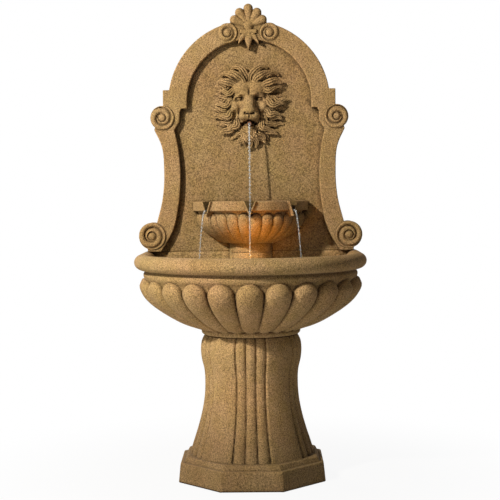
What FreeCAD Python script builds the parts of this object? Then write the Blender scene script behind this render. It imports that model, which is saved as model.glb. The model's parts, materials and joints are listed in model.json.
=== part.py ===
import FreeCAD, Part
import os
from math import asin, cos, pi, radians, sin, sqrt

# Floor fountain: pedestal, gadrooned basin, arched backplate with a lion mask, and a small half-round bowl.
# Millimetres. +Z is up, the front faces -Y, the floor is z = 0 and the wall side is +Y.

# Overall
depth = 552.0

# Pedestal: octagonal foot in two steps, then a reeded shaft
foot_width = 444.0
foot_height = 60.0
foot_draft = 6.0
tier_width = 410.0
tier_height = 15.0
tier_draft = 8.0
pedestal_wall = 26.0
foot_wall = 34.0
shaft_levels = [(191.0, 0.0), (166.0, 77.0), (146.0, 169.0), (143.0, 218.0), (155.0, 318.0), (143.0, 367.0)]
reed_groups = 5
reeds_per_group = 3
reed_angle = 12.0
reed_rise = 0.16
cord_arch_width = 60.0
cord_arch_height = 58.0

# Basin: outline levels are radius over the lobes, height above the pedestal, lobe rise and back inset
basin_levels = [
    (147.0, 10.0, 0.08, 46.0),
    (196.0, 27.0, 0.12, 26.0),
    (268.0, 64.0, 0.13, 8.0),
    (317.0, 102.0, 0.13, 0.0),
    (346.0, 149.0, 0.12, 0.0),
    (336.0, 173.0, 0.04, 0.0),
]
basin_lobes = 11
basin_lobe_angle = 15.0
basin_side_lobes = 3
basin_wall = 30.0
basin_floor_height = 43.0
basin_floor_radius = 175.0
collar_radius = 143.0
collar_tube = 9.5
cove_radius = 327.0
rim_radius = 332.0
rim_tube = 27.0
rim_lip = 2.0
rim_height = 218.0
pedestal_setback = 33.0

# Backplate: heights are above the basin rim
plate_thickness = 50.0
frame_proud = 24.0
plate_foot_x = 330.0
side_foot_x = 299.0
side_waist_x = 273.0
side_waist_height = 262.0
side_head_x = 304.0
shoulder_x = 275.0
shoulder_height = 516.0
arch_height = 475.0
arch_radius = 258.0
arch_inner_radius = 199.0
inner_foot_x = 287.0
inner_low_x = 238.0
inner_low_height = 108.0
inner_waist_x = 222.0
inner_waist_height = 233.0
inner_high_x = 227.0
inner_high_height = 318.0
inner_head_x = 240.0
inner_head_height = 389.0
inner_step_height = 458.0
low_volute_x = 315.0
low_volute_height = 51.0
low_volute_radius = 43.0
high_volute_x = 278.0
high_volute_height = 428.0
high_volute_radius = 38.0
volute_proud = 9.0
volute_groove = 5.0
volute_ring_outer_share = 0.78
volute_ring_inner_share = 0.42

# Crest on the arch: shell fan, two small volutes, a bar and three drip leaves
shell_sink = 17.0
shell_reach = 70.0
shell_lobe_radius = 16.0
shell_root_share = 0.3
shell_lobe_angles = (-60.0, -30.0, 0.0, 30.0, 60.0)
crest_thickness = 44.0
crest_proud = 8.0
crest_volute_x = 62.0
crest_volute_drop = 24.0
crest_volute_radius = 30.0
crest_bar_half_width = 48.0
crest_bar_drop = 21.0
crest_bar_height = 26.0
leaf_half_width = 13.0
leaf_spread = 33.0
centre_leaf_length = 62.0
side_leaf_length = 42.0

# Lion mask: each boss is rounded in steps of outline share and height share
boss_rounding = ((1.0, 0.0), (0.92, 0.6), (0.64, 1.0))
mask_height = 447.0
mane_half_width = 120.0
mane_half_height = 136.0
mane_thickness = 30.0
face_half_width = 60.0
face_half_height = 72.0
face_rise = 26.0
face_proud = 47.0
muzzle_half_width = 42.0
muzzle_half_height = 34.0
muzzle_drop = 14.0
muzzle_proud = 60.0
chin_half_width = 28.0
chin_half_height = 20.0
chin_drop = 66.0
chin_proud = 46.0
ear_radius = 21.0
ear_spread = 70.0
ear_rise = 88.0
ear_sink = 7.0
mouth_half_width = 25.0
mouth_half_height = 10.0
mouth_drop = 42.0
mouth_depth = 34.0

# Upper bowl: outline levels are radius over the lobes, height above the neck's foot and lobe rise
bowl_levels = [
    (92.0, 24.0, 0.06), (122.0, 41.0, 0.14), (148.0, 60.0, 0.16), (166.0, 82.0, 0.16), (173.0, 112.0, 0.06),
]
bowl_lobes = 14
bowl_wall = 13.0
bowl_band_radius = 185.0
bowl_band_foot = 134.0
bowl_band_height = 29.0
bowl_floor_height = 44.0
bowl_floor_radius = 88.0
bowl_mouth_radius = 163.0
bowl_back_wall = 12.0
bowl_gap = 0.4
neck_below_rim = 3.0
neck_radius = 68.0
neck_wall = 12.0
neck_cavity = 20.0
beak_angles = (-45.0, 0.0, 45.0)
beak_half_width = 20.0
beak_drop = 18.0
beak_proud = 8.0
notch_half_width = 12.0
notch_depth = 26.0

# Riser under the bowl
riser_wall = 9.0
riser_seat_gap = 0.3
inlet_half_width = 9.0
inlet_height = 24.0
inlet_angles = (-50.0, 0.0, 50.0)

# Water way behind the plate
tube_outer_radius = 7.0
tube_inner_radius = 5.0
barb_clearance = 0.05
channel_half_width = 16.0
channel_depth = 34.0
channel_margin = 18.0
cover_half_width = 31.0
cover_thickness = 3.0
cover_sink = 6.0
cover_clearance = 0.5
cover_overlap = 8.0
wall_pass_radius = 14.0
wall_pass_drop = 39.0
spout_outer_radius = 6.0
spout_wall = 1.5
spout_clearance = 0.3
elbow_radius = 8.5
elbow_drop = 14.0
spout_inset = 12.0
socket_depth = 7.0
clamp_offset = 4.0
clamp_lug = 6.0
barb_length = 16.0
clamp_thickness = 1.2
clamp_width = 8.0
screw_radius = 1.75
screw_length = 16.0
screw_head_radius = 3.6
screw_head_height = 2.2
screw_rows = 3
dowel_radius = 6.0
dowel_length = 50.0
dowel_spread = 150.0
dowel_clearance = 0.2

# Drain stopper in the basin floor
stopper_x = 85.0
stopper_y = 30.0
stopper_radius = 17.0
stopper_taper = 2.0
stopper_length = 37.0
stopper_flange = 5.0
stopper_flange_height = 4.0
stopper_clearance = 0.3
stopper_seat_gap = 0.3
stopper_handle_radius = 6.0
stopper_handle_height = 14.0
cord_slot_radius = 3.2

# Pump, which stands inside the riser on suction cups with its spin axis along Y
pump_half_width = 22.0
pump_height = 48.0
pump_body_depth = 38.0
pump_cover_depth = 8.0
pump_back_gap = 4.0
pump_wall = 3.0
rear_cover_thickness = 4.0
cup_radius = 8.0
cup_top_radius = 4.0
cup_lip = 1.6
cup_dish_top_radius = 2.4
cup_dish_height = 4.0
cup_height = 12.0
cup_inset = 10.0
spin_height = 29.0
chamber_radius = 15.0
chamber_depth = 11.0
rotor_radius = 7.0
rotor_length = 13.0
rotor_gap = 0.5
well_wall = 1.5
shaft_radius = 1.5
shaft_running_gap = 0.05
bush_radius = 4.0
bush_length = 4.0
shaft_end_gap = 0.3
impeller_radius = 12.5
impeller_vanes = 6
vane_thickness = 1.6
vane_margin = 1.0
impeller_disc = 2.0
impeller_height = 7.0
impeller_hub_radius = 3.5
axial_gap = 1.0
core_leg = 5.0
core_gap = 0.5
core_depth = 10.0
coil_thickness = 2.5
coil_half_length = 7.0
outlet_flange_radius = 9.0
outlet_flange_height = 4.0
outlet_bore_radius = 3.5
dial_radius = 14.5
dial_thickness = 2.0
knob_radius = 5.0
knob_height = 3.0
dial_gap = 0.3
dial_pin_radius = 2.0
dial_pin_length = 2.6
strainer_slots = 8
slot_half_width = 1.2
slot_inner_radius = 8.5
slot_outer_radius = 13.5
gland_radius = 4.5
gland_length = 9.0
gland_height = 16.0
gland_nut_share = 0.6
gland_neck_share = 0.75

# Lamp on the basin floor, tilting about X
lamp_y = -40.0
lamp_base_radius = 38.0
lamp_base_height = 8.0
lamp_base_chamfer = 2.5
bracket_thickness = 2.5
bracket_width = 16.0
bracket_gap = 1.0
pivot_height = 36.0
pivot_radius = 2.5
pivot_head_radius = 5.0
pivot_head_height = 3.0
pivot_head_gap = 0.3
lamp_radius = 20.0
lamp_wall = 2.0
lamp_below_pivot = 17.0
lamp_above_pivot = 22.0
bezel_lip = 4.0
bezel_height = 6.0
lens_thickness = 3.0
gasket_thickness = 1.2
board_thickness = 1.6
board_depth = 9.0
lamp_gland_radius = 4.5
lamp_gland_length = 8.0
pivot_running_gap = 0.05

# Places worked out from the driving dimensions
back_y = depth / 2
rim_outer_radius = rim_radius + rim_tube
basin_y = rim_outer_radius - back_y
pedestal_y = basin_y - pedestal_setback
panel_y = back_y - plate_thickness
frame_y = panel_y - frame_proud
shaft_z = foot_height + tier_height
seat_z = shaft_z + shaft_levels[-1][1]
floor_z = seat_z + basin_floor_height
rim_z = seat_z + rim_height
plate_z = rim_z + rim_tube
shell_z = plate_z + arch_height + arch_radius - shell_sink
mask_z = plate_z + mask_height
spout_z = mask_z - mouth_drop
neck_z = plate_z - neck_below_rim
bowl_y = panel_y - bowl_gap
channel_y = back_y - channel_depth
cover_y = back_y - cover_sink
tube_back_y = (channel_y + cover_y) / 2
wall_pass_z = plate_z - wall_pass_drop
channel_top_z = spout_z + channel_margin
channel_foot_z = wall_pass_z - channel_margin
pump_back_y = panel_y - pump_back_gap
pump_front_y = pump_back_y - pump_body_depth
pump_cover_y = pump_front_y - pump_cover_depth
pump_z = floor_z + cup_height
pump_top_z = pump_z + pump_height
spin_z = pump_z + spin_height
chamber_back_y = pump_front_y + chamber_depth
cavity_y = chamber_back_y + pump_wall
rear_cover_y = pump_back_y - rear_cover_thickness
rotor_y = chamber_back_y + axial_gap
rotor_end_y = rotor_y + rotor_length
well_end_y = rotor_end_y + axial_gap
outlet_y = pump_front_y + chamber_depth / 2
riser_inner_radius = neck_radius - riser_wall
pivot_z = floor_z + lamp_base_height + pivot_height

UP = FreeCAD.Vector(0, 0, 1)
ALONG_X = FreeCAD.Vector(1, 0, 0)
ALONG_Y = FreeCAD.Vector(0, 1, 0)


def at(x, y, z):
    return FreeCAD.Vector(x, y, z)


def block(low, high):
    """Box between two corners."""
    return Part.makeBox(high[0] - low[0], high[1] - low[1], high[2] - low[2], at(*low))


def rod(radius, start, direction, length):
    return Part.makeCylinder(radius, length, at(*start), direction)


def ring(outer, inner, start, direction, length):
    return rod(outer, start, direction, length).cut(rod(inner, start, direction, length))


def joined(shapes):
    """One solid from shapes that meet, added one after another."""
    body = shapes[0]
    for shape in shapes[1:]:
        body = body.fuse(shape)
    return body


def carved(body, cuts):
    """Solid with shapes taken out, one after another."""
    for cut in cuts:
        body = body.cut(cut)
    return body


def turned(points, y, sweep=360):
    """Solid turned about an upright line at y from radius and height points, +X side round the front."""
    outline = Part.makePolygon([at(radius, y, z) for radius, z in points + points[:1]])
    return Part.Face(outline).revolve(at(0, y, 0), at(0, 0, -1), sweep)


def polar(radius, angle, y):
    """Point at an angle from straight ahead (towards -Y), positive towards +X."""
    return radius * sin(radians(angle)), y - radius * cos(radians(angle))


def lobed_outline(stations, rises, z):
    """Closed level outline with an outward arc between each two stations and a straight closing side."""
    points = [at(x, y, z) for x, y in stations]
    edges = []
    for start, end, rise in zip(points, points[1:], rises):
        outward = UP.cross(end - start)
        edges.append(Part.Arc(start, (start + end) * 0.5 + outward * rise, end).toShape())
    if points[0].distanceToPoint(points[-1]) > 0.01:
        edges.append(Part.makeLine(points[-1], points[0]))
    return Part.Wire(edges)


def octagon(width, z):
    corner_radius = width / 2 / cos(radians(22.5))
    corners = [polar(corner_radius, 22.5 + 45 * i, pedestal_y) for i in range(9)]
    return Part.makePolygon([at(x, y, z) for x, y in corners])


def loft(wires, ruled=False):
    return Part.makeLoft(wires, True, ruled)


def reeded_outline(radius, height):
    """Shaft section: groups of narrow reeds with broad plain panels between them."""
    group_angle = 360.0 / reed_groups
    half_group = reed_angle * reeds_per_group / 2
    panel_half = radians((group_angle - 2 * half_group) / 2)
    panel_rise = (1 - cos(panel_half)) / (2 * sin(panel_half))
    angles = []
    for group in range(reed_groups):
        middle = -group * group_angle
        angles += [middle + half_group - reed_angle * i for i in range(reeds_per_group + 1)]
    angles.append(angles[0] - 360)
    rises = ([reed_rise] * reeds_per_group + [panel_rise]) * reed_groups
    stations = [polar(radius, angle, pedestal_y) for angle in angles]
    return lobed_outline(stations, rises, shaft_z + height)


def pedestal():
    foot = loft([octagon(foot_width, 0), octagon(foot_width - 2 * foot_draft, foot_height)], True)
    tier = loft([octagon(tier_width, foot_height), octagon(tier_width - 2 * tier_draft, shaft_z)], True)
    shaft = loft([reeded_outline(radius, height) for radius, height in shaft_levels])
    inside = [(radius - pedestal_wall, shaft_z + height) for radius, height in shaft_levels]
    foot_inside = foot_width / 2 - foot_draft - foot_wall
    under_foot = [(0, 0), (foot_inside, 0), (foot_inside, foot_height - foot_wall / 2)]
    hollow = turned(under_foot + inside + [(0, seat_z)], pedestal_y)
    arch_radius_here = cord_arch_width / 2
    spring_z = cord_arch_height - arch_radius_here
    arch = block((-arch_radius_here, pedestal_y, 0), (arch_radius_here, back_y, spring_z))
    arch = arch.fuse(rod(arch_radius_here, (0, pedestal_y, spring_z), ALONG_Y, back_y - pedestal_y))
    return foot.fuse([tier, shaft]).cut([hollow, arch])


def meeting_radius(crest_radius, rise, lobe_angle):
    """Radius where two lobes meet when their crests reach crest_radius."""
    half = radians(lobe_angle / 2)
    return crest_radius / (cos(half) + 2 * rise * sin(half))


def basin_outline(crest_radius, height, rise, inset):
    """Lobed level of the basin: straight sides, half-round front with a lobe in the middle, straight back."""
    radius = meeting_radius(crest_radius, rise, basin_lobe_angle)
    centre_y = basin_y - pedestal_setback * inset / basin_levels[0][3]
    front_angles = [basin_lobe_angle * (basin_lobes / 2 - i) for i in range(basin_lobes + 1)]
    front = [polar(radius, angle, centre_y) for angle in front_angles]
    corner_y = back_y - inset
    side_step = (corner_y - front[0][1]) / basin_side_lobes
    right = [(radius, corner_y - side_step * i) for i in range(basin_side_lobes)]
    left = [(-x, y) for x, y in reversed(right)]
    stations = right + front + left
    return lobed_outline(stations, [rise] * (len(stations) - 1), seat_z + height)


def round_fronted(radius, z, y_back):
    """Plain level outline: half-round front and straight sides back to y_back."""
    right, left = at(radius, basin_y, z), at(-radius, basin_y, z)
    return Part.Wire([
        Part.makeLine(at(radius, y_back, z), right),
        Part.Arc(right, at(0, basin_y - radius, z), left).toShape(),
        Part.makeLine(left, at(-radius, y_back, z)),
        Part.makeLine(at(-radius, y_back, z), at(radius, y_back, z)),
    ])


def basin_hollow():
    top_level = seat_z + basin_levels[-1][1]
    mouth_radius = rim_radius - rim_tube + rim_lip
    levels = [(basin_floor_radius, floor_z)]
    levels += [(radius - basin_wall, seat_z + height) for radius, height, rise, inset in basin_levels[2:]]
    bowl = loft([round_fronted(radius, z, panel_y) for radius, z in levels])
    throat_height = plate_z - top_level + rim_lip
    throat = Part.Face(round_fronted(mouth_radius, top_level, panel_y)).extrude(UP * throat_height)
    return bowl.fuse(throat)


def basin():
    bowl = loft([basin_outline(*level) for level in basin_levels])
    collar = rod(collar_radius, (0, pedestal_y, seat_z), UP, 2 * collar_tube)
    bead = Part.makeTorus(collar_radius, collar_tube, at(0, pedestal_y, seat_z + collar_tube), UP)
    cove_z = seat_z + basin_levels[-1][1]
    cove = Part.Face(round_fronted(cove_radius, cove_z, back_y)).extrude(UP * (rim_z - cove_z))
    roll = Part.makeTorus(rim_radius, rim_tube, at(0, basin_y, rim_z), UP, -180, 180, 180)
    roll.rotate(at(0, basin_y, rim_z), UP, 180)
    sides = [rod(rim_tube, (x, basin_y, rim_z), ALONG_Y, back_y - basin_y) for x in (-rim_radius, rim_radius)]
    ledge = block((-rim_radius, panel_y, rim_z - rim_tube), (rim_radius, back_y, plate_z))
    body = joined([bowl, collar, bead, cove, ledge] + sides + [roll])
    behind = block((-depth, back_y, 0), (depth, depth, plate_z))
    cuts = [basin_hollow(), behind, stopper_cone(stopper_clearance), wall_pass(), rear_channel()]
    return carved(body, cuts + dowels(dowel_clearance) + screw_pilots())


def mirrored_face(edges):
    """Upright face at y = 0 from the edges of its right half, foot first and crown last."""
    left = [edge.mirror(at(0, 0, 0), ALONG_X) for edge in edges]
    foot = edges[0].Vertexes[0].Point
    closing = Part.makeLine(foot, at(-foot.x, foot.y, foot.z))
    return Part.Face(Part.Wire(Part.__sortEdges__(edges + left + [closing])))


def plate_spot(x, height):
    return at(x, 0, plate_z + height)


def arch_edge(radius, height):
    """Right part of the arch, from a height on its side to its crown."""
    low = asin((height - arch_height) / radius)
    middle = (low + pi / 2) / 2
    spots = [plate_spot(radius * cos(a), arch_height + radius * sin(a)) for a in (low, middle)]
    return Part.Arc(spots[0], spots[1], plate_spot(0, arch_height + radius)).toShape()


def chain(spots):
    """Straight edges through a row of points."""
    return [Part.makeLine(start, end) for start, end in zip(spots, spots[1:])]


def plate_face():
    foot = plate_spot(plate_foot_x, 0)
    foot_top = plate_spot(plate_foot_x, low_volute_height)
    side_low = plate_spot(side_foot_x, low_volute_height + low_volute_radius)
    waist = plate_spot(side_waist_x, side_waist_height)
    side_high = plate_spot(side_head_x, high_volute_height - high_volute_radius)
    shoulder_low = plate_spot(shoulder_x, high_volute_height + high_volute_radius)
    shoulder_top = plate_spot(shoulder_x, shoulder_height)
    arch = arch_edge(arch_radius, shoulder_height)
    side = Part.Arc(side_low, waist, side_high).toShape()
    shoulder = chain([side_high, shoulder_low, shoulder_top, arch.Vertexes[0].Point])
    return mirrored_face(chain([foot, foot_top, side_low]) + [side] + shoulder + [arch])


def panel_face():
    """Sunk field inside the raised frame, open at the foot."""
    foot = plate_spot(inner_foot_x, 0)
    low = plate_spot(inner_low_x, inner_low_height)
    waist = plate_spot(inner_waist_x, inner_waist_height)
    high = plate_spot(inner_high_x, inner_high_height)
    head = plate_spot(inner_head_x, inner_head_height)
    neck = plate_spot(inner_waist_x, (inner_head_height + inner_step_height) / 2)
    step = plate_spot(inner_waist_x, inner_step_height)
    arch = arch_edge(arch_inner_radius, inner_step_height)
    curves = [Part.Arc(foot, low, waist).toShape(), Part.Arc(waist, high, head).toShape()]
    return mirrored_face(curves + chain([head, neck, step, arch.Vertexes[0].Point]) + [arch])


def extruded(face, y_front, y_back):
    return face.translated(ALONG_Y * y_front).extrude(ALONG_Y * (y_back - y_front))


def volute(x, z, radius, front_y, rear_y):
    """Scroll end: a disc with a sunk ring round a raised eye."""
    disc = rod(radius, (x, front_y, z), ALONG_Y, rear_y - front_y)
    outer, inner = radius * volute_ring_outer_share, radius * volute_ring_inner_share
    return disc.cut(ring(outer, inner, (x, front_y, z), ALONG_Y, volute_groove))


def shell_lobe(angle, front_y, rear_y):
    tip_x, tip_drop = polar(shell_reach - shell_lobe_radius, angle, 0)
    tip = at(tip_x, 0, shell_z - tip_drop)
    side = at(cos(radians(angle)), 0, -sin(radians(angle))) * shell_lobe_radius
    hub = at(0, 0, shell_z)
    root = side * shell_root_share
    wedge = Part.Face(Part.makePolygon([hub + root, tip + side, tip - side, hub - root, hub + root]))
    end = rod(shell_lobe_radius, (tip.x, front_y, tip.z), ALONG_Y, rear_y - front_y)
    return extruded(wedge, front_y, rear_y).fuse(end)


def leaf(x, length, front_y):
    """Drip leaf: a pointed oval hanging under the crest."""
    top, tip = at(x, 0, shell_z - crest_bar_drop), at(x, 0, shell_z - crest_bar_drop - length)
    middle_z = (top.z + tip.z) / 2
    arcs = [Part.Arc(top, at(x + side * leaf_half_width, 0, middle_z), tip).toShape() for side in (-1, 1)]
    return extruded(Part.Face(Part.Wire(Part.__sortEdges__(arcs))), front_y, panel_y)


def crest():
    front_y = frame_y - crest_proud
    rear_y = front_y + crest_thickness
    pieces = [shell_lobe(angle, front_y, rear_y) for angle in shell_lobe_angles]
    volute_z = shell_z - crest_volute_drop
    for side in (-1, 1):
        pieces.append(volute(side * crest_volute_x, volute_z, crest_volute_radius, front_y, rear_y))
        pieces.append(leaf(side * leaf_spread, side_leaf_length, front_y))
    pieces.append(leaf(0, centre_leaf_length, front_y))
    bar_z = shell_z - crest_bar_drop
    pieces.append(block((-crest_bar_half_width, front_y, bar_z - crest_bar_height / 2),
                        (crest_bar_half_width, rear_y, bar_z + crest_bar_height / 2)))
    return pieces


def backplate():
    outer = plate_face()
    field = extruded(outer, panel_y, back_y)
    frame = extruded(outer.cut(panel_face()), frame_y, panel_y)
    scrolls = []
    for side in (-1, 1):
        scrolls.append(volute(side * low_volute_x, plate_z + low_volute_height, low_volute_radius,
                              frame_y - volute_proud, back_y))
        scrolls.append(volute(side * high_volute_x, plate_z + high_volute_height, high_volute_radius,
                              frame_y - volute_proud, back_y))
    body = field.fuse([frame] + scrolls + crest())
    spout_hole = rod(spout_outer_radius + spout_clearance, (0, panel_y, spout_z), ALONG_Y, channel_depth)
    return body.cut([rear_channel(), spout_hole] + dowels(dowel_clearance) + screw_pilots())


def oval(half_width, half_height, z, y):
    across, upward = at(half_width, y, z), at(0, y, z + half_height)
    ends = (across, upward) if half_width > half_height else (upward, across)
    return Part.Wire([Part.Ellipse(ends[0], ends[1], at(0, y, z)).toShape()])


def dome(half_width, half_height, z, foot, proud):
    """Rounded oval boss on the panel, from foot to proud in front of it."""
    return loft([oval(half_width * size, half_height * size, z, panel_y - foot - (proud - foot) * share)
                 for size, share in boss_rounding])


def lion_mask():
    foot = mane_thickness / 2
    mane = dome(mane_half_width, mane_half_height, mask_z, 0, mane_thickness)
    face = dome(face_half_width, face_half_height, mask_z + face_rise, foot, face_proud)
    muzzle = dome(muzzle_half_width, muzzle_half_height, mask_z - muzzle_drop, foot, muzzle_proud)
    chin = dome(chin_half_width, chin_half_height, mask_z - chin_drop, foot, chin_proud)
    ears = [Part.makeSphere(ear_radius, at(side * ear_spread, panel_y - mane_thickness + ear_sink,
                                           mask_z + ear_rise)) for side in (-1, 1)]
    mouth = Part.Face(oval(mouth_half_width, mouth_half_height, spout_z, panel_y - muzzle_proud))
    bore_radius = spout_outer_radius + spout_clearance
    bore = rod(bore_radius, (0, panel_y - muzzle_proud, spout_z), ALONG_Y, muzzle_proud)
    return carved(joined([mane, face, muzzle, chin] + ears), [mouth.extrude(ALONG_Y * mouth_depth), bore])


def bowl_outline(crest_radius, height, rise):
    step = 180.0 / bowl_lobes
    radius = meeting_radius(crest_radius, rise, step)
    stations = [polar(radius, 90 - step * i, bowl_y) for i in range(bowl_lobes + 1)]
    return lobed_outline(stations, [rise] * bowl_lobes, neck_z + height)


def wedge_prism(half_width, top_z, tip_z, inner, outer, angle):
    """V-shaped prism pointing out from the bowl's axis at an angle."""
    y = bowl_y - outer
    corners = [at(-half_width, y, top_z), at(half_width, y, top_z), at(0, y, tip_z)]
    outline = Part.makePolygon(corners + corners[:1])
    prism = Part.Face(outline).extrude(ALONG_Y * (outer - inner))
    prism.rotate(at(0, bowl_y, 0), UP, angle)
    return prism


def bowl_hollow():
    top_z = neck_z + bowl_band_foot + bowl_band_height
    points = [(0, neck_z + bowl_floor_height), (bowl_floor_radius, neck_z + bowl_floor_height)]
    points += [(radius - bowl_wall, neck_z + height) for radius, height, rise in bowl_levels[2:]]
    points += [(bowl_mouth_radius, top_z), (0, top_z)]
    back_wall = block((-bowl_band_radius, bowl_y - bowl_back_wall, neck_z), (bowl_band_radius, bowl_y, top_z))
    return turned(points, bowl_y, 180).cut(back_wall)


def upper_bowl():
    body = loft([bowl_outline(*level) for level in bowl_levels])
    top_radius, top_height = bowl_levels[-1][:2]
    neck_top = neck_z + bowl_levels[0][1]
    neck = turned([(0, neck_z), (neck_radius, neck_z), (neck_radius, neck_top), (0, neck_top)], bowl_y, 180)
    band_z = neck_z + bowl_band_foot
    band_top = band_z + bowl_band_height
    band = turned([(0, neck_z + top_height), (top_radius, neck_z + top_height), (top_radius, band_z),
                   (bowl_band_radius, band_z), (bowl_band_radius, band_top), (0, band_top)], bowl_y, 180)
    beaks = [wedge_prism(beak_half_width, band_top, band_z - beak_drop, bowl_mouth_radius,
                         bowl_band_radius + beak_proud, angle) for angle in beak_angles]
    notches = [wedge_prism(notch_half_width, band_top, band_top - notch_depth, bowl_mouth_radius - bowl_wall,
                           bowl_band_radius + beak_proud, angle) for angle in beak_angles]
    cavity_radius = neck_radius - neck_wall
    cavity = turned([(0, neck_z), (cavity_radius, neck_z), (cavity_radius, neck_z + neck_cavity),
                     (0, neck_z + neck_cavity)], bowl_y, 180)
    return carved(joined([body, neck, band] + beaks), [bowl_hollow(), cavity] + notches)


def bowl_riser():
    top_z = neck_z - riser_seat_gap
    post = turned([(riser_inner_radius, floor_z), (neck_radius, floor_z), (neck_radius, top_z),
                   (riser_inner_radius, top_z)], panel_y, 180)
    inlets = []
    for angle in inlet_angles:
        spring_z = floor_z + inlet_height - inlet_half_width
        front = panel_y - neck_radius
        inlet = block((-inlet_half_width, front, floor_z),
                      (inlet_half_width, front + 2 * riser_wall, spring_z))
        inlet = inlet.fuse(rod(inlet_half_width, (0, front, spring_z), ALONG_Y, 2 * riser_wall))
        inlet.rotate(at(0, panel_y, 0), UP, angle)
        inlets.append(inlet)
    return post.cut(inlets)


def rear_channel():
    """Groove up the back of the castings, with a shallow recess for its cover."""
    groove = block((-channel_half_width, channel_y, channel_foot_z),
                   (channel_half_width, back_y, channel_top_z))
    half_width = cover_half_width + cover_clearance
    overlap = cover_overlap + cover_clearance
    recess = block((-half_width, cover_y, channel_foot_z - overlap),
                   (half_width, back_y, channel_top_z + overlap))
    return groove.fuse(recess)


def wall_pass():
    return rod(wall_pass_radius, (0, panel_y, wall_pass_z), ALONG_Y, channel_depth)


def screw_spots():
    """X and Z of the cover screws, in rows up both edges of the cover."""
    x = (channel_half_width + cover_half_width) / 2
    span = channel_top_z - channel_foot_z
    heights = [channel_foot_z + span * row / (screw_rows - 1) for row in range(screw_rows)]
    return [(side * x, z) for z in heights for side in (-1, 1)]


def screw_pilots():
    start_y = cover_y + cover_thickness - screw_length
    radius = screw_radius + barb_clearance
    return [rod(radius, (x, start_y, z), ALONG_Y, screw_length) for x, z in screw_spots()]


def cover_screws():
    seat_y = cover_y + cover_thickness
    screws = []
    for x, z in screw_spots():
        shank = rod(screw_radius, (x, seat_y - screw_length, z), ALONG_Y, screw_length)
        screws.append(shank.fuse(rod(screw_head_radius, (x, seat_y, z), ALONG_Y, screw_head_height)))
    return Part.makeCompound(screws)


def rear_channel_cover():
    plate = block((-cover_half_width, cover_y, channel_foot_z - cover_overlap),
                  (cover_half_width, cover_y + cover_thickness, channel_top_z + cover_overlap))
    return plate.cut(screw_pilots())


def dowels(clearance):
    y = (panel_y + back_y) / 2
    length = dowel_length + 2 * clearance
    low_z = plate_z - length / 2
    return [rod(dowel_radius + clearance, (side * dowel_spread, y, low_z), UP, length) for side in (-1, 1)]


def tube_path(start_z, end_z):
    """Up from the pump, in an S bend back through the wall, and up the rear channel."""
    bend = (tube_back_y - outlet_y) / 2
    low_z, high_z = wall_pass_z - bend, wall_pass_z + bend
    middle_y = outlet_y + bend
    slant = bend * sqrt(0.5)
    middle = at(0, middle_y, wall_pass_z)
    first = Part.Arc(at(0, outlet_y, low_z), at(0, middle_y - slant, low_z + slant), middle)
    second = Part.Arc(middle, at(0, middle_y + slant, high_z - slant), at(0, tube_back_y, high_z))
    return Part.Wire([
        Part.makeLine(at(0, outlet_y, start_z), at(0, outlet_y, low_z)),
        first.toShape(),
        second.toShape(),
        Part.makeLine(at(0, tube_back_y, high_z), at(0, tube_back_y, end_z)),
    ])


def supply_tube():
    start_z = pump_top_z + outlet_flange_height
    path = tube_path(start_z, spout_z - elbow_drop)
    outline = [Part.Wire([Part.makeCircle(radius, at(0, outlet_y, start_z), UP)])
               for radius in (tube_outer_radius, tube_inner_radius)]
    outer, inner = [path.makePipeShell([circle], True, False) for circle in outline]
    return outer.cut(inner)


def tube_elbow():
    shoulder_z = spout_z - elbow_drop
    barb_radius = tube_inner_radius - barb_clearance
    bore_radius = spout_outer_radius - spout_wall
    leg_y = tube_back_y - elbow_radius - socket_depth / 2
    body = rod(elbow_radius, (0, tube_back_y, shoulder_z), UP, elbow_drop)
    body = body.fuse([Part.makeSphere(elbow_radius, at(0, tube_back_y, spout_z)),
                      rod(elbow_radius, (0, leg_y, spout_z), ALONG_Y, tube_back_y - leg_y),
                      rod(barb_radius, (0, tube_back_y, shoulder_z - barb_length), UP, barb_length)])
    barb_z = shoulder_z - barb_length
    upright_bore = rod(outlet_bore_radius, (0, tube_back_y, barb_z), UP, spout_z - barb_z)
    level_bore = rod(bore_radius, (0, leg_y, spout_z), ALONG_Y, tube_back_y - leg_y)
    socket = rod(spout_outer_radius + barb_clearance, (0, leg_y, spout_z), ALONG_Y, socket_depth)
    return body.cut([upright_bore, level_bore, socket])


def spout_tube():
    front_y = panel_y - muzzle_proud + spout_inset
    back = tube_back_y - elbow_radius + socket_depth / 2
    inner = spout_outer_radius - spout_wall
    return ring(spout_outer_radius, inner, (0, front_y, spout_z), ALONG_Y, back - front_y)


def hose_clamp(y, z):
    inner = tube_outer_radius + barb_clearance
    lug = block((inner, y - clamp_lug / 2, z), (inner + clamp_lug, y + clamp_lug / 2, z + clamp_width))
    band = rod(inner + clamp_thickness, (0, y, z), UP, clamp_width).fuse(lug)
    return band.cut(rod(inner, (0, y, z), UP, clamp_width))


def hose_clamps():
    low_z = pump_top_z + outlet_flange_height + clamp_offset
    high_z = spout_z - elbow_drop - clamp_offset - clamp_width
    return Part.makeCompound([hose_clamp(outlet_y, low_z), hose_clamp(tube_back_y, high_z)])


def stopper_cone(clearance):
    """Tapered plug shape in the floor, with room all round and below for a hole."""
    bottom_z = floor_z - stopper_length if clearance == 0 else seat_z
    height = floor_z - bottom_z
    slope = stopper_taper / stopper_length
    return Part.makeCone(stopper_radius - slope * height + clearance, stopper_radius + clearance, height,
                         at(stopper_x, stopper_y, bottom_z), UP)


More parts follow.
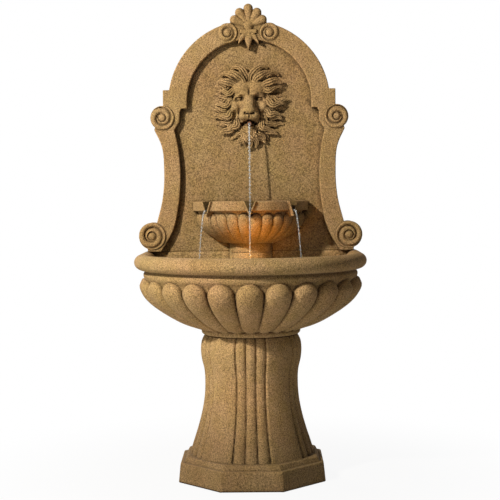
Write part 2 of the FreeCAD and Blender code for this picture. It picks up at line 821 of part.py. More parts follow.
def drain_stopper():
    """Rubber plug with a flange, a pull knob and a half-round groove for a cord down each side."""
    seat = rod(stopper_radius, (stopper_x, stopper_y, floor_z), UP, stopper_seat_gap)
    flange_z = floor_z + stopper_seat_gap
    flange = rod(stopper_radius + stopper_flange, (stopper_x, stopper_y, flange_z), UP, stopper_flange_height)
    knob_z = flange_z + stopper_flange_height
    knob = rod(stopper_handle_radius, (stopper_x, stopper_y, knob_z), UP, stopper_handle_height)
    groove_x = [stopper_x + side * stopper_radius for side in (-1, 1)]
    grooves = [rod(cord_slot_radius, (x, stopper_y, seat_z), UP, knob_z - seat_z) for x in groove_x]
    return carved(joined([stopper_cone(0), seat, flange, knob]), grooves)


def spin_rod(radius, start_y, end_y):
    """Round bar on the pump's spin axis."""
    return rod(radius, (0, start_y, spin_z), ALONG_Y, end_y - start_y)


def pump_housing():
    body = block((-pump_half_width, pump_front_y, pump_z), (pump_half_width, rear_cover_y, pump_top_z))
    inside = pump_half_width - pump_wall
    low_z, high_z = pump_z + pump_wall, pump_top_z - pump_wall
    body = body.cut(block((-inside, cavity_y, low_z), (inside, rear_cover_y, high_z)))
    well_radius = rotor_radius + rotor_gap
    body = body.fuse(spin_rod(well_radius + well_wall, cavity_y, well_end_y + bush_length + well_wall))
    outlet = rod(outlet_bore_radius, (0, outlet_y, spin_z), UP, pump_top_z - spin_z)
    cord_hole = rod(gland_radius / 2, (inside, gland_y(), gland_z()), ALONG_X, pump_wall)
    return body.cut([spin_rod(chamber_radius, pump_front_y, chamber_back_y),
                     spin_rod(well_radius, chamber_back_y, well_end_y),
                     spin_rod(bush_radius + barb_clearance, well_end_y, well_end_y + bush_length),
                     outlet, cord_hole])


def strainer_slot_set(front_y, rear_y):
    slots = []
    for i in range(strainer_slots):
        slot = block((slot_inner_radius, front_y, spin_z - slot_half_width),
                     (slot_outer_radius, rear_y, spin_z + slot_half_width))
        slot.rotate(at(0, 0, spin_z), ALONG_Y, 360.0 * i / strainer_slots)
        slots.append(slot)
    return slots


def pump_front_cover():
    body = block((-pump_half_width, pump_cover_y, pump_z), (pump_half_width, pump_front_y, pump_top_z))
    pocket = spin_rod(bush_radius + barb_clearance, pump_front_y - bush_length, pump_front_y)
    pin_hole = spin_rod(dial_pin_radius + shaft_running_gap, pump_cover_y, pump_cover_y + dial_pin_length)
    return body.cut(strainer_slot_set(pump_cover_y, pump_front_y) + [pocket, pin_hole])


def flow_dial():
    plate_y = pump_cover_y - dial_gap
    plate = spin_rod(dial_radius, plate_y - dial_thickness, plate_y)
    plate = plate.cut(strainer_slot_set(plate_y - dial_thickness, plate_y))
    knob = spin_rod(knob_radius, plate_y - dial_thickness - knob_height, plate_y - dial_thickness)
    pin = spin_rod(dial_pin_radius, plate_y, pump_cover_y + dial_pin_length - dial_gap)
    return plate.fuse([knob, pin])


def pump_rear_cover():
    return block((-pump_half_width, rear_cover_y, pump_z), (pump_half_width, pump_back_y, pump_top_z))


def pump_rotor():
    bore = spin_rod(shaft_radius + shaft_running_gap, rotor_y, rotor_end_y)
    return spin_rod(rotor_radius, rotor_y, rotor_end_y).cut(bore)


def impeller():
    back = chamber_back_y - axial_gap
    front = back - impeller_height
    disc = spin_rod(impeller_radius, back - impeller_disc, back)
    body = spin_rod(impeller_hub_radius, front, back).fuse(disc)
    for i in range(impeller_vanes):
        vane = block((0, front, spin_z - vane_thickness / 2),
                     (impeller_radius - vane_margin, back, spin_z + vane_thickness / 2))
        vane.rotate(at(0, 0, spin_z), ALONG_Y, 360.0 * i / impeller_vanes)
        body = body.fuse(vane)
    return body.cut(spin_rod(shaft_radius + shaft_running_gap, front, back))


def impeller_shaft():
    reach = bush_length - shaft_end_gap
    return spin_rod(shaft_radius, pump_front_y - reach, well_end_y + reach)


def shaft_bushes():
    bore_radius = shaft_radius + shaft_running_gap
    starts = (pump_front_y - bush_length, well_end_y)
    bushes = []
    for y in starts:
        end_y = y + bush_length
        bushes.append(spin_rod(bush_radius, y, end_y).cut(spin_rod(bore_radius, y, end_y)))
    return Part.makeCompound(bushes)


def core_limits():
    """Inner and outer X, lowest Z and first Y of the stator core."""
    inner = rotor_radius + rotor_gap + well_wall + core_gap
    return inner, inner + core_leg, pump_z + pump_wall + coil_thickness, cavity_y + coil_thickness + core_gap


def stator_core():
    inner, outer, low_z, first_y = core_limits()
    last_y = first_y + core_depth
    yoke = block((-outer, first_y, low_z), (outer, last_y, low_z + core_leg))
    legs = [block((min(side * inner, side * outer), first_y, low_z),
                  (max(side * inner, side * outer), last_y, spin_z + core_leg)) for side in (-1, 1)]
    return yoke.fuse(legs)


def stator_coil():
    inner, outer, low_z, first_y = core_limits()
    grow = coil_thickness
    winding = block((-coil_half_length, first_y - grow, low_z - grow),
                    (coil_half_length, first_y + core_depth + grow, low_z + core_leg + grow))
    return winding.cut(block((-coil_half_length, first_y, low_z),
                             (coil_half_length, first_y + core_depth, low_z + core_leg)))


def pump_outlet():
    flange = rod(outlet_flange_radius, (0, outlet_y, pump_top_z), UP, outlet_flange_height)
    barb_z = pump_top_z + outlet_flange_height
    barb = rod(tube_inner_radius - barb_clearance, (0, outlet_y, barb_z), UP, barb_length)
    bore = rod(outlet_bore_radius, (0, outlet_y, pump_top_z), UP, outlet_flange_height + barb_length)
    return flange.fuse(barb).cut(bore)


def suction_cups():
    cups = []
    for x in (cup_inset - pump_half_width, pump_half_width - cup_inset):
        for y in (pump_front_y + cup_inset, pump_back_y - cup_inset):
            foot = at(x, y, floor_z)
            skirt = Part.makeCone(cup_radius, cup_top_radius, cup_height, foot, UP)
            dish = Part.makeCone(cup_radius - cup_lip, cup_dish_top_radius, cup_dish_height, foot, UP)
            cups.append(skirt.cut(dish))
    return Part.makeCompound(cups)


def gland_y():
    return (cavity_y + rear_cover_y) / 2


def gland_z():
    return pump_z + gland_height


def gland(radius, length, start, direction):
    """Cord gland: a stepped collar with the cord's bore."""
    nut = rod(radius, start, direction, length * gland_nut_share)
    neck = rod(radius * gland_neck_share, start, direction, length)
    return nut.fuse(neck).cut(rod(radius / 2, start, direction, length))


def pump_cord_gland():
    return gland(gland_radius, gland_length, (pump_half_width, gland_y(), gland_z()), ALONG_X)


def lamp_rod(radius, low, high):
    """Round bar on the lamp's axis, between heights measured from the tilt pivot."""
    return rod(radius, (0, lamp_y, pivot_z + low), UP, high - low)


def lamp_base():
    foot = rod(lamp_base_radius, (0, lamp_y, floor_z), UP, lamp_base_height)
    top_edge = [edge for edge in foot.Edges if edge.BoundBox.ZMin > floor_z + lamp_base_height / 2]
    return foot.makeChamfer(lamp_base_chamfer, top_edge)


def lamp_bracket():
    inner = lamp_radius + bracket_gap
    outer = inner + bracket_thickness
    low_z = floor_z + lamp_base_height
    half = bracket_width / 2
    strap = block((-outer, lamp_y - half, low_z), (outer, lamp_y + half, pivot_z))
    strap = strap.fuse(rod(half, (-outer, lamp_y, pivot_z), ALONG_X, 2 * outer))
    inside = block((-inner, lamp_y - half, low_z + bracket_thickness), (inner, lamp_y + half, pivot_z + half))
    hole = rod(pivot_radius + pivot_running_gap, (-outer, lamp_y, pivot_z), ALONG_X, 2 * outer)
    return strap.cut([inside, hole])


def lamp_pivot_screws():
    head_x = lamp_radius + bracket_gap + bracket_thickness + pivot_head_gap
    screws = []
    for side in (-1, 1):
        way = ALONG_X * side
        inner_x = lamp_radius - lamp_wall
        shank = rod(pivot_radius, (side * inner_x, lamp_y, pivot_z), way, head_x - inner_x)
        head = rod(pivot_head_radius, (side * head_x, lamp_y, pivot_z), way, pivot_head_height)
        screws.append(shank.fuse(head))
    return Part.makeCompound(screws)


def lamp_housing():
    cup = lamp_rod(lamp_radius, -lamp_below_pivot, lamp_above_pivot)
    inside = lamp_rod(lamp_radius - lamp_wall, lamp_wall - lamp_below_pivot, lamp_above_pivot)
    screw_hole_radius = pivot_radius + barb_clearance
    screw_holes = rod(screw_hole_radius, (-lamp_radius, lamp_y, pivot_z), ALONG_X, 2 * lamp_radius)
    cord_hole = lamp_rod(lamp_gland_radius / 2, -lamp_below_pivot, lamp_wall - lamp_below_pivot)
    return cup.cut([inside, screw_holes, cord_hole])


def lamp_gasket():
    top = lamp_above_pivot + gasket_thickness
    return lamp_rod(lamp_radius, lamp_above_pivot, top).cut(
        lamp_rod(lamp_radius - lamp_wall, lamp_above_pivot, top))


def lamp_lens():
    low = lamp_above_pivot + gasket_thickness
    return lamp_rod(lamp_radius, low, low + lens_thickness)


def lamp_bezel():
    lens_top = lamp_above_pivot + gasket_thickness + lens_thickness
    top = lens_top + lamp_wall
    outer = lamp_rod(lamp_radius + lamp_wall, top - bezel_height - lamp_wall, top)
    around = lamp_rod(lamp_radius + barb_clearance, top - bezel_height - lamp_wall, lens_top)
    return outer.cut([around, lamp_rod(lamp_radius - bezel_lip, lens_top, top)])


def lamp_led_board():
    low = lamp_above_pivot - board_depth
    return lamp_rod(lamp_radius - lamp_wall - barb_clearance, low, low + board_thickness)


def lamp_cord_gland():
    return gland(lamp_gland_radius, lamp_gland_length, (0, lamp_y, pivot_z - lamp_below_pivot), UP * -1)


def locating_dowels():
    return Part.makeCompound(dowels(0))


pieces = [
    pedestal, basin, backplate, lion_mask, upper_bowl, bowl_riser,
    rear_channel_cover, cover_screws, locating_dowels, spout_tube, tube_elbow, supply_tube, hose_clamps,
    drain_stopper,
    pump_housing, pump_front_cover, pump_rear_cover, pump_rotor, impeller, impeller_shaft, shaft_bushes,
    stator_core, stator_coil, flow_dial, pump_outlet, suction_cups, pump_cord_gland,
    lamp_base, lamp_bracket, lamp_pivot_screws, lamp_housing, lamp_bezel, lamp_lens, lamp_gasket,
    lamp_led_board, lamp_cord_gland,
]

os.makedirs("parts", exist_ok=True)
for piece in pieces:
    shape = piece()
    shape.exportStep("parts/" + piece.__name__ + ".step")
    print(piece.__name__, len(shape.Solids), "solids", shape.isValid(), round(shape.Volume))
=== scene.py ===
import json
from functools import reduce
from math import cos, pi, radians, sin, sqrt

import bpy
import numpy as np
import openvdb
from mathutils import Matrix, Vector


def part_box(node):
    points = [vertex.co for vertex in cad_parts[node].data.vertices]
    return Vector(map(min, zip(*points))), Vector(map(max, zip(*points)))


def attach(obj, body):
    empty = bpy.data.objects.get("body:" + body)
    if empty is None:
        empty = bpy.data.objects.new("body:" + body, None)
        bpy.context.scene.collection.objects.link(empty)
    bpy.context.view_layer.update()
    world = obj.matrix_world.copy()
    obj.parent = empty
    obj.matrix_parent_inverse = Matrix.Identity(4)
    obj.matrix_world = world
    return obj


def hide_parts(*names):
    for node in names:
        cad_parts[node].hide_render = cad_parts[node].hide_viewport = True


# Floor fountain of cast stone with a lion mask, a gadrooned basin and a small spill bowl.
# Shapes are worked out in millimetres in the frame of the solids, and their meshes are in metres.
# A field gives each point of a grid its distance from a surface, below zero inside the stone.

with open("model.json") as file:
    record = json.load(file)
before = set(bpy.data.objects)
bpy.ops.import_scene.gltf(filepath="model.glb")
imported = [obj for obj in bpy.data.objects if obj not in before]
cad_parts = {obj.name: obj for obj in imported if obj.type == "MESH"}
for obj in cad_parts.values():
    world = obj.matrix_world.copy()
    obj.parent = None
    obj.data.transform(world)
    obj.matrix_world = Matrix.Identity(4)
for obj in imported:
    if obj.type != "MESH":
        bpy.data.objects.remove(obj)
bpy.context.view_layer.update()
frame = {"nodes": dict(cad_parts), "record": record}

METRE = 0.001
COARSENESS = 1.0
# How far a field is kept on each side of its surface, in steps of its grid
FIELD_REACH = 3
# Stand-ins for zero where a division or an angle needs one
NEARLY_ZERO = 0.001
LEAST_SLOPE = 1e-6
# Points of the grid that a window keeps past a shape
WINDOW_MARGIN = 2


def box_mm(node):
    """Lowest and highest corners of a solid, in millimetres."""
    low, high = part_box(node)
    return [value / METRE for value in low], [value / METRE for value in high]


# Places read from the solids
foot_low, foot_high = box_mm("pedestal")
rim_low, rim_high = box_mm("basin")
plate_high = box_mm("backplate")[1]
mask_low, mask_high = box_mm("lion_mask")
bowl_low, bowl_high = box_mm("upper_bowl")
riser_low, riser_high = box_mm("bowl_riser")
stopper_low, stopper_high = box_mm("drain_stopper")
spout_low, spout_high = box_mm("spout_tube")
cover_low, cover_high = box_mm("rear_channel_cover")

pedestal_y = (foot_low[1] + foot_high[1]) / 2
foot_half = foot_high[0]
seat_z = foot_high[2]
back_y = plate_high[1]
rim_half = rim_high[0]
basin_y = rim_low[1] + rim_half
plate_z = rim_high[2]
panel_y = mask_high[1]
mask_z = (mask_low[2] + mask_high[2]) / 2
spout_z = (spout_low[2] + spout_high[2]) / 2
bowl_y = bowl_high[1]
neck_z = bowl_low[2]
band_radius = bowl_high[0]
band_top = bowl_high[2]
floor_z = riser_low[2]
neck_radius = riser_high[0]
tube_clearance = 0.5


# Fields and meshes


class Grid:
    """Evenly spaced points round a box, as three arrays that broadcast against each other."""

    def __init__(self, low, high, step):
        self.step = step * COARSENESS
        margin = FIELD_REACH * self.step
        self.low = [value - margin for value in low]
        spans = zip(self.low, high)
        axes = [np.arange(start, end + margin, self.step, dtype=np.float32) for start, end in spans]
        self.x = axes[0][:, None, None]
        self.y = axes[1][None, :, None]
        self.z = axes[2][None, None, :]
        self.shape = tuple(len(axis) for axis in axes)


def mesh_from_field(name, grid, field, adaptivity=0.0):
    """Mesh object where a field crosses zero. Adaptivity joins small faces on flat stretches."""
    reach = FIELD_REACH * grid.step
    field = np.clip(np.broadcast_to(field, grid.shape), -reach, reach)
    volume = openvdb.FloatGrid(reach)
    volume.copyFromArray(np.ascontiguousarray(field, dtype=np.float32))
    volume.transform = openvdb.createLinearTransform(voxelSize=grid.step)
    points, triangles, quads = volume.convertToPolygons(0.0, adaptivity)
    points = (points + np.array(grid.low)) * METRE
    faces = quads.tolist() + triangles.tolist()
    return mesh_object(name, points.tolist(), faces)


def mesh_object(name, points, faces):
    mesh = bpy.data.meshes.new(name)
    mesh.from_pydata(points, [], faces)
    mesh.validate()
    mesh.shade_smooth()
    return scene_object(name, mesh)


def scene_object(name, data):
    made = bpy.data.objects.new(name, data)
    bpy.context.scene.collection.objects.link(made)
    return made


def through(pairs, z):
    """Smooth curve through value and height pairs, read off at heights z."""
    values, heights = np.array(pairs, dtype=float).T
    slopes = np.gradient(values, heights)
    i = np.clip(np.searchsorted(heights, z) - 1, 0, len(heights) - 2)
    span = heights[i + 1] - heights[i]
    t = np.clip((z - heights[i]) / span, 0, 1)
    start = values[i] * (1 + 2 * t) * (1 - t) ** 2 + span * slopes[i] * t * (1 - t) ** 2
    end = values[i + 1] * t**2 * (3 - 2 * t) - span * slopes[i + 1] * t**2 * (1 - t)
    return (start + end).astype(np.float32)


def shared(*fields):
    """Part that lies inside every field."""
    return reduce(np.maximum, fields)


def merged(*fields):
    """All of the fields in one."""
    return reduce(np.minimum, fields)


def inside_both(a, b, edge):
    """Shared part of two fields, with the edge between them rounded."""
    outside = np.hypot(np.maximum(a + edge, 0), np.maximum(b + edge, 0))
    return np.minimum(np.maximum(a, b), -edge) + outside


def joined(a, b, blend):
    """Two fields in one, with a fillet where they meet."""
    near = np.maximum(blend - np.abs(a - b), 0) / blend
    return np.minimum(a, b) - near * near * blend / 4


def crown(position):
    """Height of a half-round rib across its width, for positions from -1 to 1."""
    return np.sqrt(np.maximum(1 - position * position, 0))


def from_front(x, y):
    """Angle from straight ahead in degrees, positive towards +X."""
    return np.degrees(np.arctan2(x, -y))


def from_line(across, up, start, end):
    """Distance of points from a straight line, and the share of the line at which each is nearest to it."""
    run, rise = end[0] - start[0], end[1] - start[1]
    side, above = across - start[0], up - start[1]
    share = np.clip((side * run + above * rise) / (run * run + rise * rise), 0, 1)
    return np.hypot(side - share * run, above - share * rise), share


# Pedestal; a profile, here and below, is pairs of a radius and a height
foot_rise = 60.0
foot_draft = 6.0
tier_half = 205.0
tier_rise = 15.0
tier_draft = 8.0
cast_edge = 3.0
shaft_profile = [
    (191.0, 75.0), (182.0, 104.0), (168.0, 147.0), (154.0, 199.0), (146.0, 244.0), (143.0, 293.0),
    (145.0, 334.0), (153.0, 370.0), (155.0, 399.0), (152.0, 421.0), (142.0, 442.0),
]
reed_groups = 5
reed_angle = 12.0
reeds_in_group = 3
reed_depth = 0.062
panel_edge_width = 5.0
panel_edge_depth = 5.0
pedestal_wall = 26.0
foot_hollow = 182.0
foot_hollow_top = 43.0
arch_half_width = 30.0
arch_spring = 28.0


def reed_cut(angle, radius):
    """How far the shaft is cut back from its full radius, for reeds in groups with plain panels between."""
    group = 360.0 / reed_groups
    half_group = reed_angle * reeds_in_group / 2
    turn = (angle + group / 2) % group - group / 2
    across = ((turn + half_group) / reed_angle % 1) * 2 - 1
    reeds = reed_depth * radius * (1 - crown(across))
    from_edge = np.radians(np.abs(turn) - half_group) * radius
    panel = panel_edge_depth * np.clip(1 - from_edge / panel_edge_width, 0, 1) ** 2
    return np.where(np.abs(turn) < half_group, reeds, panel)


def pedestal_field(grid):
    x, y, z = grid.x, grid.y - pedestal_y, grid.z
    across = shared(np.abs(x), np.abs(y), (np.abs(x) + np.abs(y)) / sqrt(2))
    foot = inside_both(across - (foot_half - foot_draft * z / foot_rise), z - foot_rise, cast_edge)
    shaft_z = foot_rise + tier_rise
    slope = tier_draft / tier_rise
    tier = inside_both(across - (tier_half - slope * np.maximum(z - foot_rise, 0)), z - shaft_z, cast_edge)
    rho = np.hypot(x, y)
    radius = through(shaft_profile, z)
    shaft = shared(rho - radius + reed_cut(from_front(x, y), radius), z - seat_z)
    solid = shared(merged(foot, tier, shaft), -z)
    foot_inside = np.interp(z, [foot_hollow_top, shaft_z], [foot_hollow, radius.max() - pedestal_wall])
    inner = np.where(z < shaft_z, foot_inside, radius - pedestal_wall)
    above_spring = np.maximum(z - arch_spring, 0)
    arch = shared(np.hypot(x, above_spring) - arch_half_width, -y)
    return shared(solid, inner - rho, -arch)


# Basin
rim_tube = 27.0
rim_half_height = 24.0
rim_z = plate_z - rim_half_height
rim_radius = rim_half - rim_tube
cove_radius = 327.0
collar_radius = 142.0
collar_tube = 10.0
rim_blend = 6.0
bowl_profile = [
    (138.0, 442.0), (141.0, 453.0), (181.0, 469.0), (245.0, 506.0), (291.0, 544.0), (316.0, 588.0),
    (320.0, 604.0), (329.0, 616.0), (331.0, 626.0), (326.0, 638.0), (326.0, 650.0),
]
lobe_depth = [(10.0, 442.0), (19.0, 480.0), (27.0, 530.0), (31.0, 580.0), (30.0, 620.0)]
lobe_share = 0.99
back_inset = [(46.0, 452.0), (26.0, 469.0), (8.0, 506.0), (0.0, 544.0), (0.0, 700.0)]
lobe_angle = 15.0
front_lobes = 11
side_lobes = 3
lobe_low, lobe_low_round = 452.0, 30.0
lobe_high, lobe_high_round = 613.0, 40.0
hollow_profile = [
    (175.0, 485.0), (238.0, 506.0), (287.0, 544.0), (312.0, 591.0), (307.0, 625.0), (307.0, 700.0),
]
stopper_hole = 17.3
pass_radius = 14.0
pass_z = 648.0


def lobe_rise(across, z, low, low_round, high, high_round):
    """Height of a round-ended lobe, from 0 to 1, at a share of its pitch from its middle."""
    over = np.maximum(z - (high - high_round), 0) / high_round
    under = np.maximum(low + low_round - z, 0) / low_round
    side = across / (lobe_share / 2)
    return np.sqrt(np.maximum(1 - side * side - over * over - under * under, 0))


def round_fronted(x, y, centre_y):
    """Distance out from the middle line of a plan with a half-round front and straight sides."""
    return np.hypot(x, np.minimum(y - centre_y, 0))


def basin_hollow(x, y, z):
    radius = through(hollow_profile, z)
    return shared(round_fronted(x, y, basin_y) - radius, floor_z - z, y - panel_y)


def basin_field(grid):
    x, y, z = grid.x, grid.y, grid.z
    inset = np.maximum(through(back_inset, z), 0)
    centre_y = basin_y - (basin_y - pedestal_y) * inset / back_inset[0][0]
    radius = through(bowl_profile, z)
    rho = round_fronted(x, y, centre_y)
    count = from_front(np.abs(x), np.minimum(y - centre_y, -NEARLY_ZERO)) / lobe_angle
    side_y = centre_y - radius * cos(radians(lobe_angle * front_lobes / 2))
    along_side = (y - side_y) / (back_y - inset - side_y)
    count = np.where(along_side > 0, front_lobes / 2 + side_lobes * along_side, count)
    rise = lobe_rise(count - np.round(count), z, lobe_low, lobe_low_round, lobe_high, lobe_high_round)
    lobes = rho - radius - through(lobe_depth, z) * rise
    bowl = inside_both(lobes, y - (back_y - inset), cast_edge)
    bowl = shared(bowl, z - rim_z, lobe_low - z)
    plain_rho = round_fronted(x, y, basin_y)
    roll = np.hypot(plain_rho - rim_radius, (z - rim_z) * rim_tube / rim_half_height) - rim_tube
    rim_layer = np.abs(z - rim_z) - rim_half_height
    cove = shared(plain_rho - cove_radius, rim_layer, z - rim_z)
    collar_rho = np.hypot(x, y - pedestal_y)
    bead = np.hypot(np.maximum(collar_rho - collar_radius, 0), z - seat_z - collar_tube) - collar_tube
    ledge = inside_both(np.abs(x) - rim_radius, shared(panel_y - y, rim_layer), cast_edge)
    solid = merged(joined(bowl, roll, rim_blend), cove, bead, ledge)
    holes = merged(basin_hollow(x, y, z), basin_holes(grid), rear_channel(grid))
    return shared(solid, -holes, y - back_y, seat_z - z)


def basin_holes(grid):
    """Drain hole and the tube's way through the back wall."""
    stopper_x = (stopper_low[0] + stopper_high[0]) / 2
    stopper_y = (stopper_low[1] + stopper_high[1]) / 2
    drain = shared(np.hypot(grid.x - stopper_x, grid.y - stopper_y) - stopper_hole, grid.z - rim_z)
    wall_pass = shared(np.hypot(grid.x, grid.z - pass_z) - pass_radius, basin_y - grid.y)
    return merged(drain, wall_pass)


# Ways for the water tubes: the spout's bore, and a groove up the back with a shallow recess for its cover
channel_half = 16.0
channel_y = 242.0
channel_margin = 8.0
cover_room = 0.8


def spout_bore(grid):
    return np.hypot(grid.x, grid.z - spout_z) - spout_high[0] - tube_clearance


def rear_channel(grid):
    x, y, z = grid.x, grid.y, grid.z
    middle_z = (cover_low[2] + cover_high[2]) / 2
    half_height = (cover_high[2] - cover_low[2]) / 2
    past_end = np.abs(z - middle_z) - half_height
    groove = shared(np.abs(x) - channel_half, past_end + channel_margin, channel_y - y)
    recess = shared(shared(np.abs(x) - cover_high[0], past_end) - cover_room, cover_low[1] - y)
    return merged(groove, recess)


# Upper bowl
bowl_base = [
    (82.0, 714.0), (88.0, 717.0), (114.0, 731.0), (139.0, 749.0), (157.0, 770.0), (164.0, 792.0),
    (165.0, 806.0), (170.0, 822.0),
]
bowl_lobe_depth = [(4.0, 714.0), (7.0, 740.0), (9.0, 772.0), (9.0, 822.0)]
bowl_lobes = 14
bowl_lobe_low, bowl_lobe_low_round = 711.0, 14.0
bowl_lobe_high, bowl_lobe_high_round = 810.0, 20.0
bowl_hollow_profile = [
    (88.0, 732.0), (126.0, 747.0), (146.0, 770.0), (155.0, 796.0), (163.0, 847.0), (163.0, 860.0),
]
bowl_floor = 732.0
bowl_back_wall = 12.0
band_height = 30.0
band_blend = 5.0
neck_top = 721.0
neck_wall = 12.0
neck_hollow = 20.0
neck_edge = 1.5
beak_angles = (-45.0, 0.0, 45.0)
beak_half_width = 21.0
beak_rise = 48.0
beak_reach = 8.0
beak_inward = 24.0
beak_edge = 2.0
beak_blend = 3.0
notch_half_width = 15.0
notch_rise = 38.0
notch_reach = 60.0
notch_edge = 0.5


def wedge(x, y, z, angle, half_width, rise, inner, outer, edge):
    """V-shaped prism with its point down, lying along a ray from the bowl's middle."""
    turn = radians(angle)
    out = x * sin(turn) - (y - bowl_y) * cos(turn)
    side = np.abs(x * cos(turn) + (y - bowl_y) * sin(turn))
    tip = band_top - rise
    flank = (side * rise - half_width * (z - tip)) / sqrt(rise**2 + half_width**2)
    return inside_both(flank, shared(out - outer, inner - out), edge)


def bowl_hollow(x, y, z):
    radius = through(bowl_hollow_profile, z)
    behind = y - bowl_y
    return shared(np.hypot(x, behind) - radius, bowl_floor - z, behind + bowl_back_wall)


def notches(x, y, z):
    """The three V-shaped cuts that the bowl spills through."""
    inner, outer = band_radius - notch_reach, band_radius + notch_reach
    return merged(*(
        wedge(x, y, z, angle, notch_half_width, notch_rise, inner, outer, notch_edge)
        for angle in beak_angles
    ))


def upper_bowl_field(grid):
    x, y, z = grid.x, grid.y - bowl_y, grid.z
    rho = np.hypot(x, y)
    angle = from_front(x, np.minimum(y, -NEARLY_ZERO))
    count = angle * bowl_lobes / 180.0
    rise = lobe_rise(count - np.floor(count) - 0.5, z, bowl_lobe_low, bowl_lobe_low_round,
                     bowl_lobe_high, bowl_lobe_high_round)
    lobes = rho - through(bowl_base, z) - through(bowl_lobe_depth, z) * rise
    body = shared(lobes, bowl_base[0][1] - z, z - band_top)
    band_foot = band_top - band_height
    band = inside_both(rho - band_radius, shared(band_foot - z, z - band_top), cast_edge)
    neck = inside_both(rho - neck_radius, shared(neck_z - z, z - neck_top), neck_edge)
    solid = merged(joined(body, band, band_blend), neck)
    for beak_angle in beak_angles:
        beak = wedge(x, grid.y, z, beak_angle, beak_half_width, beak_rise, band_radius - beak_inward,
                     band_radius + beak_reach, beak_edge)
        solid = joined(solid, shared(beak, z - band_top), beak_blend)
    neck_inside = shared(rho - neck_radius + neck_wall, z - neck_z - neck_hollow)
    return shared(solid, -bowl_hollow(x, grid.y, z), -neck_inside, -notches(x, grid.y, z), y)


# Backplate: heights are above its foot
frame_proud = 24.0
frame_y = panel_y - frame_proud
plate_edge = 3.0
foot_x, foot_block = 330.0, 51.0
side_curve = [(299.0, 94.0), (281.0, 165.0), (274.0, 262.0), (283.0, 345.0), (304.0, 390.0)]
shoulder_x, shoulder_foot, shoulder_top = 275.0, 466.0, 516.0
arch_height, arch_radius, arch_inner_radius = 475.0, 258.0, 199.0
field_curve = [(287.0, 0.0), (248.0, 68.0), (231.0, 140.0), (222.0, 240.0), (228.0, 330.0), (240.0, 389.0)]
field_neck = [(223.0, 416.0), (222.0, 446.0), (217.0, 457.0)]
field_below = -40.0
curve_steps = 24
# each volute: its place across and up, its radius, the radius of its eye, and which way its band winds
low_volute = (315.0, 51.0, 43.0, 15.0, -1)
high_volute = (278.0, 428.0, 38.0, 14.0, 1)
scroll_pitch = 20.0
scroll_proud = -7.0
scroll_roll = 14.0


def outline_distance(corners, x, z):
    """Distance of points from a closed outline, below zero inside it."""
    distance = np.full(np.broadcast(x, z).shape, np.inf)
    inside = np.zeros(distance.shape, dtype=bool)
    for start, end in zip(corners, corners[1:] + corners[:1]):
        distance = np.minimum(distance, from_line(x, z, start, end)[0])
        run, rise = end[0] - start[0], end[1] - start[1]
        if rise:
            crosses = (start[1] > z) != (end[1] > z)
            inside ^= crosses & (x < start[0] + (z - start[1]) * run / rise)
    return np.where(inside, -distance, distance).astype(np.float32)


def both_sides(right):
    return right + [(-x, z) for x, z in reversed(right)]


def curve_points(pairs):
    heights = np.linspace(pairs[0][1], pairs[-1][1], curve_steps)
    return list(zip(through(pairs, heights), heights))


def arch_points(radius, low):
    angles = np.linspace(np.arcsin((low - arch_height) / radius), pi / 2, curve_steps)
    return [(radius * cos(angle), arch_height + radius * sin(angle)) for angle in angles]


def plate_outline():
    side = [(foot_x, 0.0), (foot_x, foot_block)] + curve_points(side_curve)
    shoulder = [(shoulder_x, shoulder_foot), (shoulder_x, shoulder_top)]
    return both_sides(side + shoulder + arch_points(arch_radius, shoulder_top))


def field_outline():
    """Edge of the sunk field inside the raised frame."""
    side = [(field_curve[0][0], field_below)] + curve_points(field_curve) + field_neck
    return both_sides(side + arch_points(arch_inner_radius, field_neck[-1][1]))


def volute(grid, x, z, radius, eye, turn):
    """Scroll on both sides of the plate: a rolled band that winds in to a round eye."""
    run, rise = np.abs(grid.x) - x, grid.z - z
    rho = np.hypot(run, rise)
    winding = (radius - rho) / scroll_pitch - turn * np.arctan2(rise, run) / (2 * pi)
    band = scroll_roll * crown((winding % 1) * 2 - 1)
    ball = np.sqrt(np.maximum(eye * eye - rho * rho, 0))
    height = scroll_proud + np.where(rho < eye, ball, band)
    return inside_both(rho - radius, frame_y - height - grid.y, plate_edge)


# Crest: shell fan, hub, bar, two small scrolls and three drip leaves; heights are below the shell's top
crest_top = plate_high[2]
hub_drop = 70.0
petal_angles = (-66.0, -33.0, 0.0, 33.0, 66.0)
petal_lengths = (63.0, 65.0, 70.0, 65.0, 63.0)
petal_root, petal_end, petal_sink = 6.0, 15.0, 3.0
crest_rear = 36.0
crest_blend = 3.0
hub_radius, hub_sink = 16.0, 4.0
bar_half, bar_drop, bar_half_height = 27.0, 88.0, 6.0
bar_proud, bar_edge = 8.0, 3.0
crest_volute = (67.0, 92.0, 31.0, 15.0, -1)
leaf_top = 88.0
# each leaf: where it starts across, how far it leans out, its half width and its length
leaf_rows = [(0.0, 0.0, 12.0, 56.0), (9.0, 24.0, 9.0, 40.0), (-9.0, -24.0, 9.0, 40.0)]
leaf_proud = 7.0
leaf_swell = 0.3
leaf_point = 0.1
leaf_blend = 2.0


def petal(grid, angle, length):
    """Rounded petal of the shell, widening from the hub to its end."""
    turn = radians(angle)
    x, z = grid.x, grid.z - crest_top + hub_drop
    axis_length = length - petal_end
    along = np.clip(x * sin(turn) + z * cos(turn), 0, axis_length)
    radius = petal_root + (petal_end - petal_root) * along / axis_length
    side = np.hypot(x - along * sin(turn), z - along * cos(turn))
    front = np.hypot(side, np.minimum(grid.y - frame_y - petal_sink, 0)) - radius
    return shared(front, grid.y - frame_y - crest_rear)


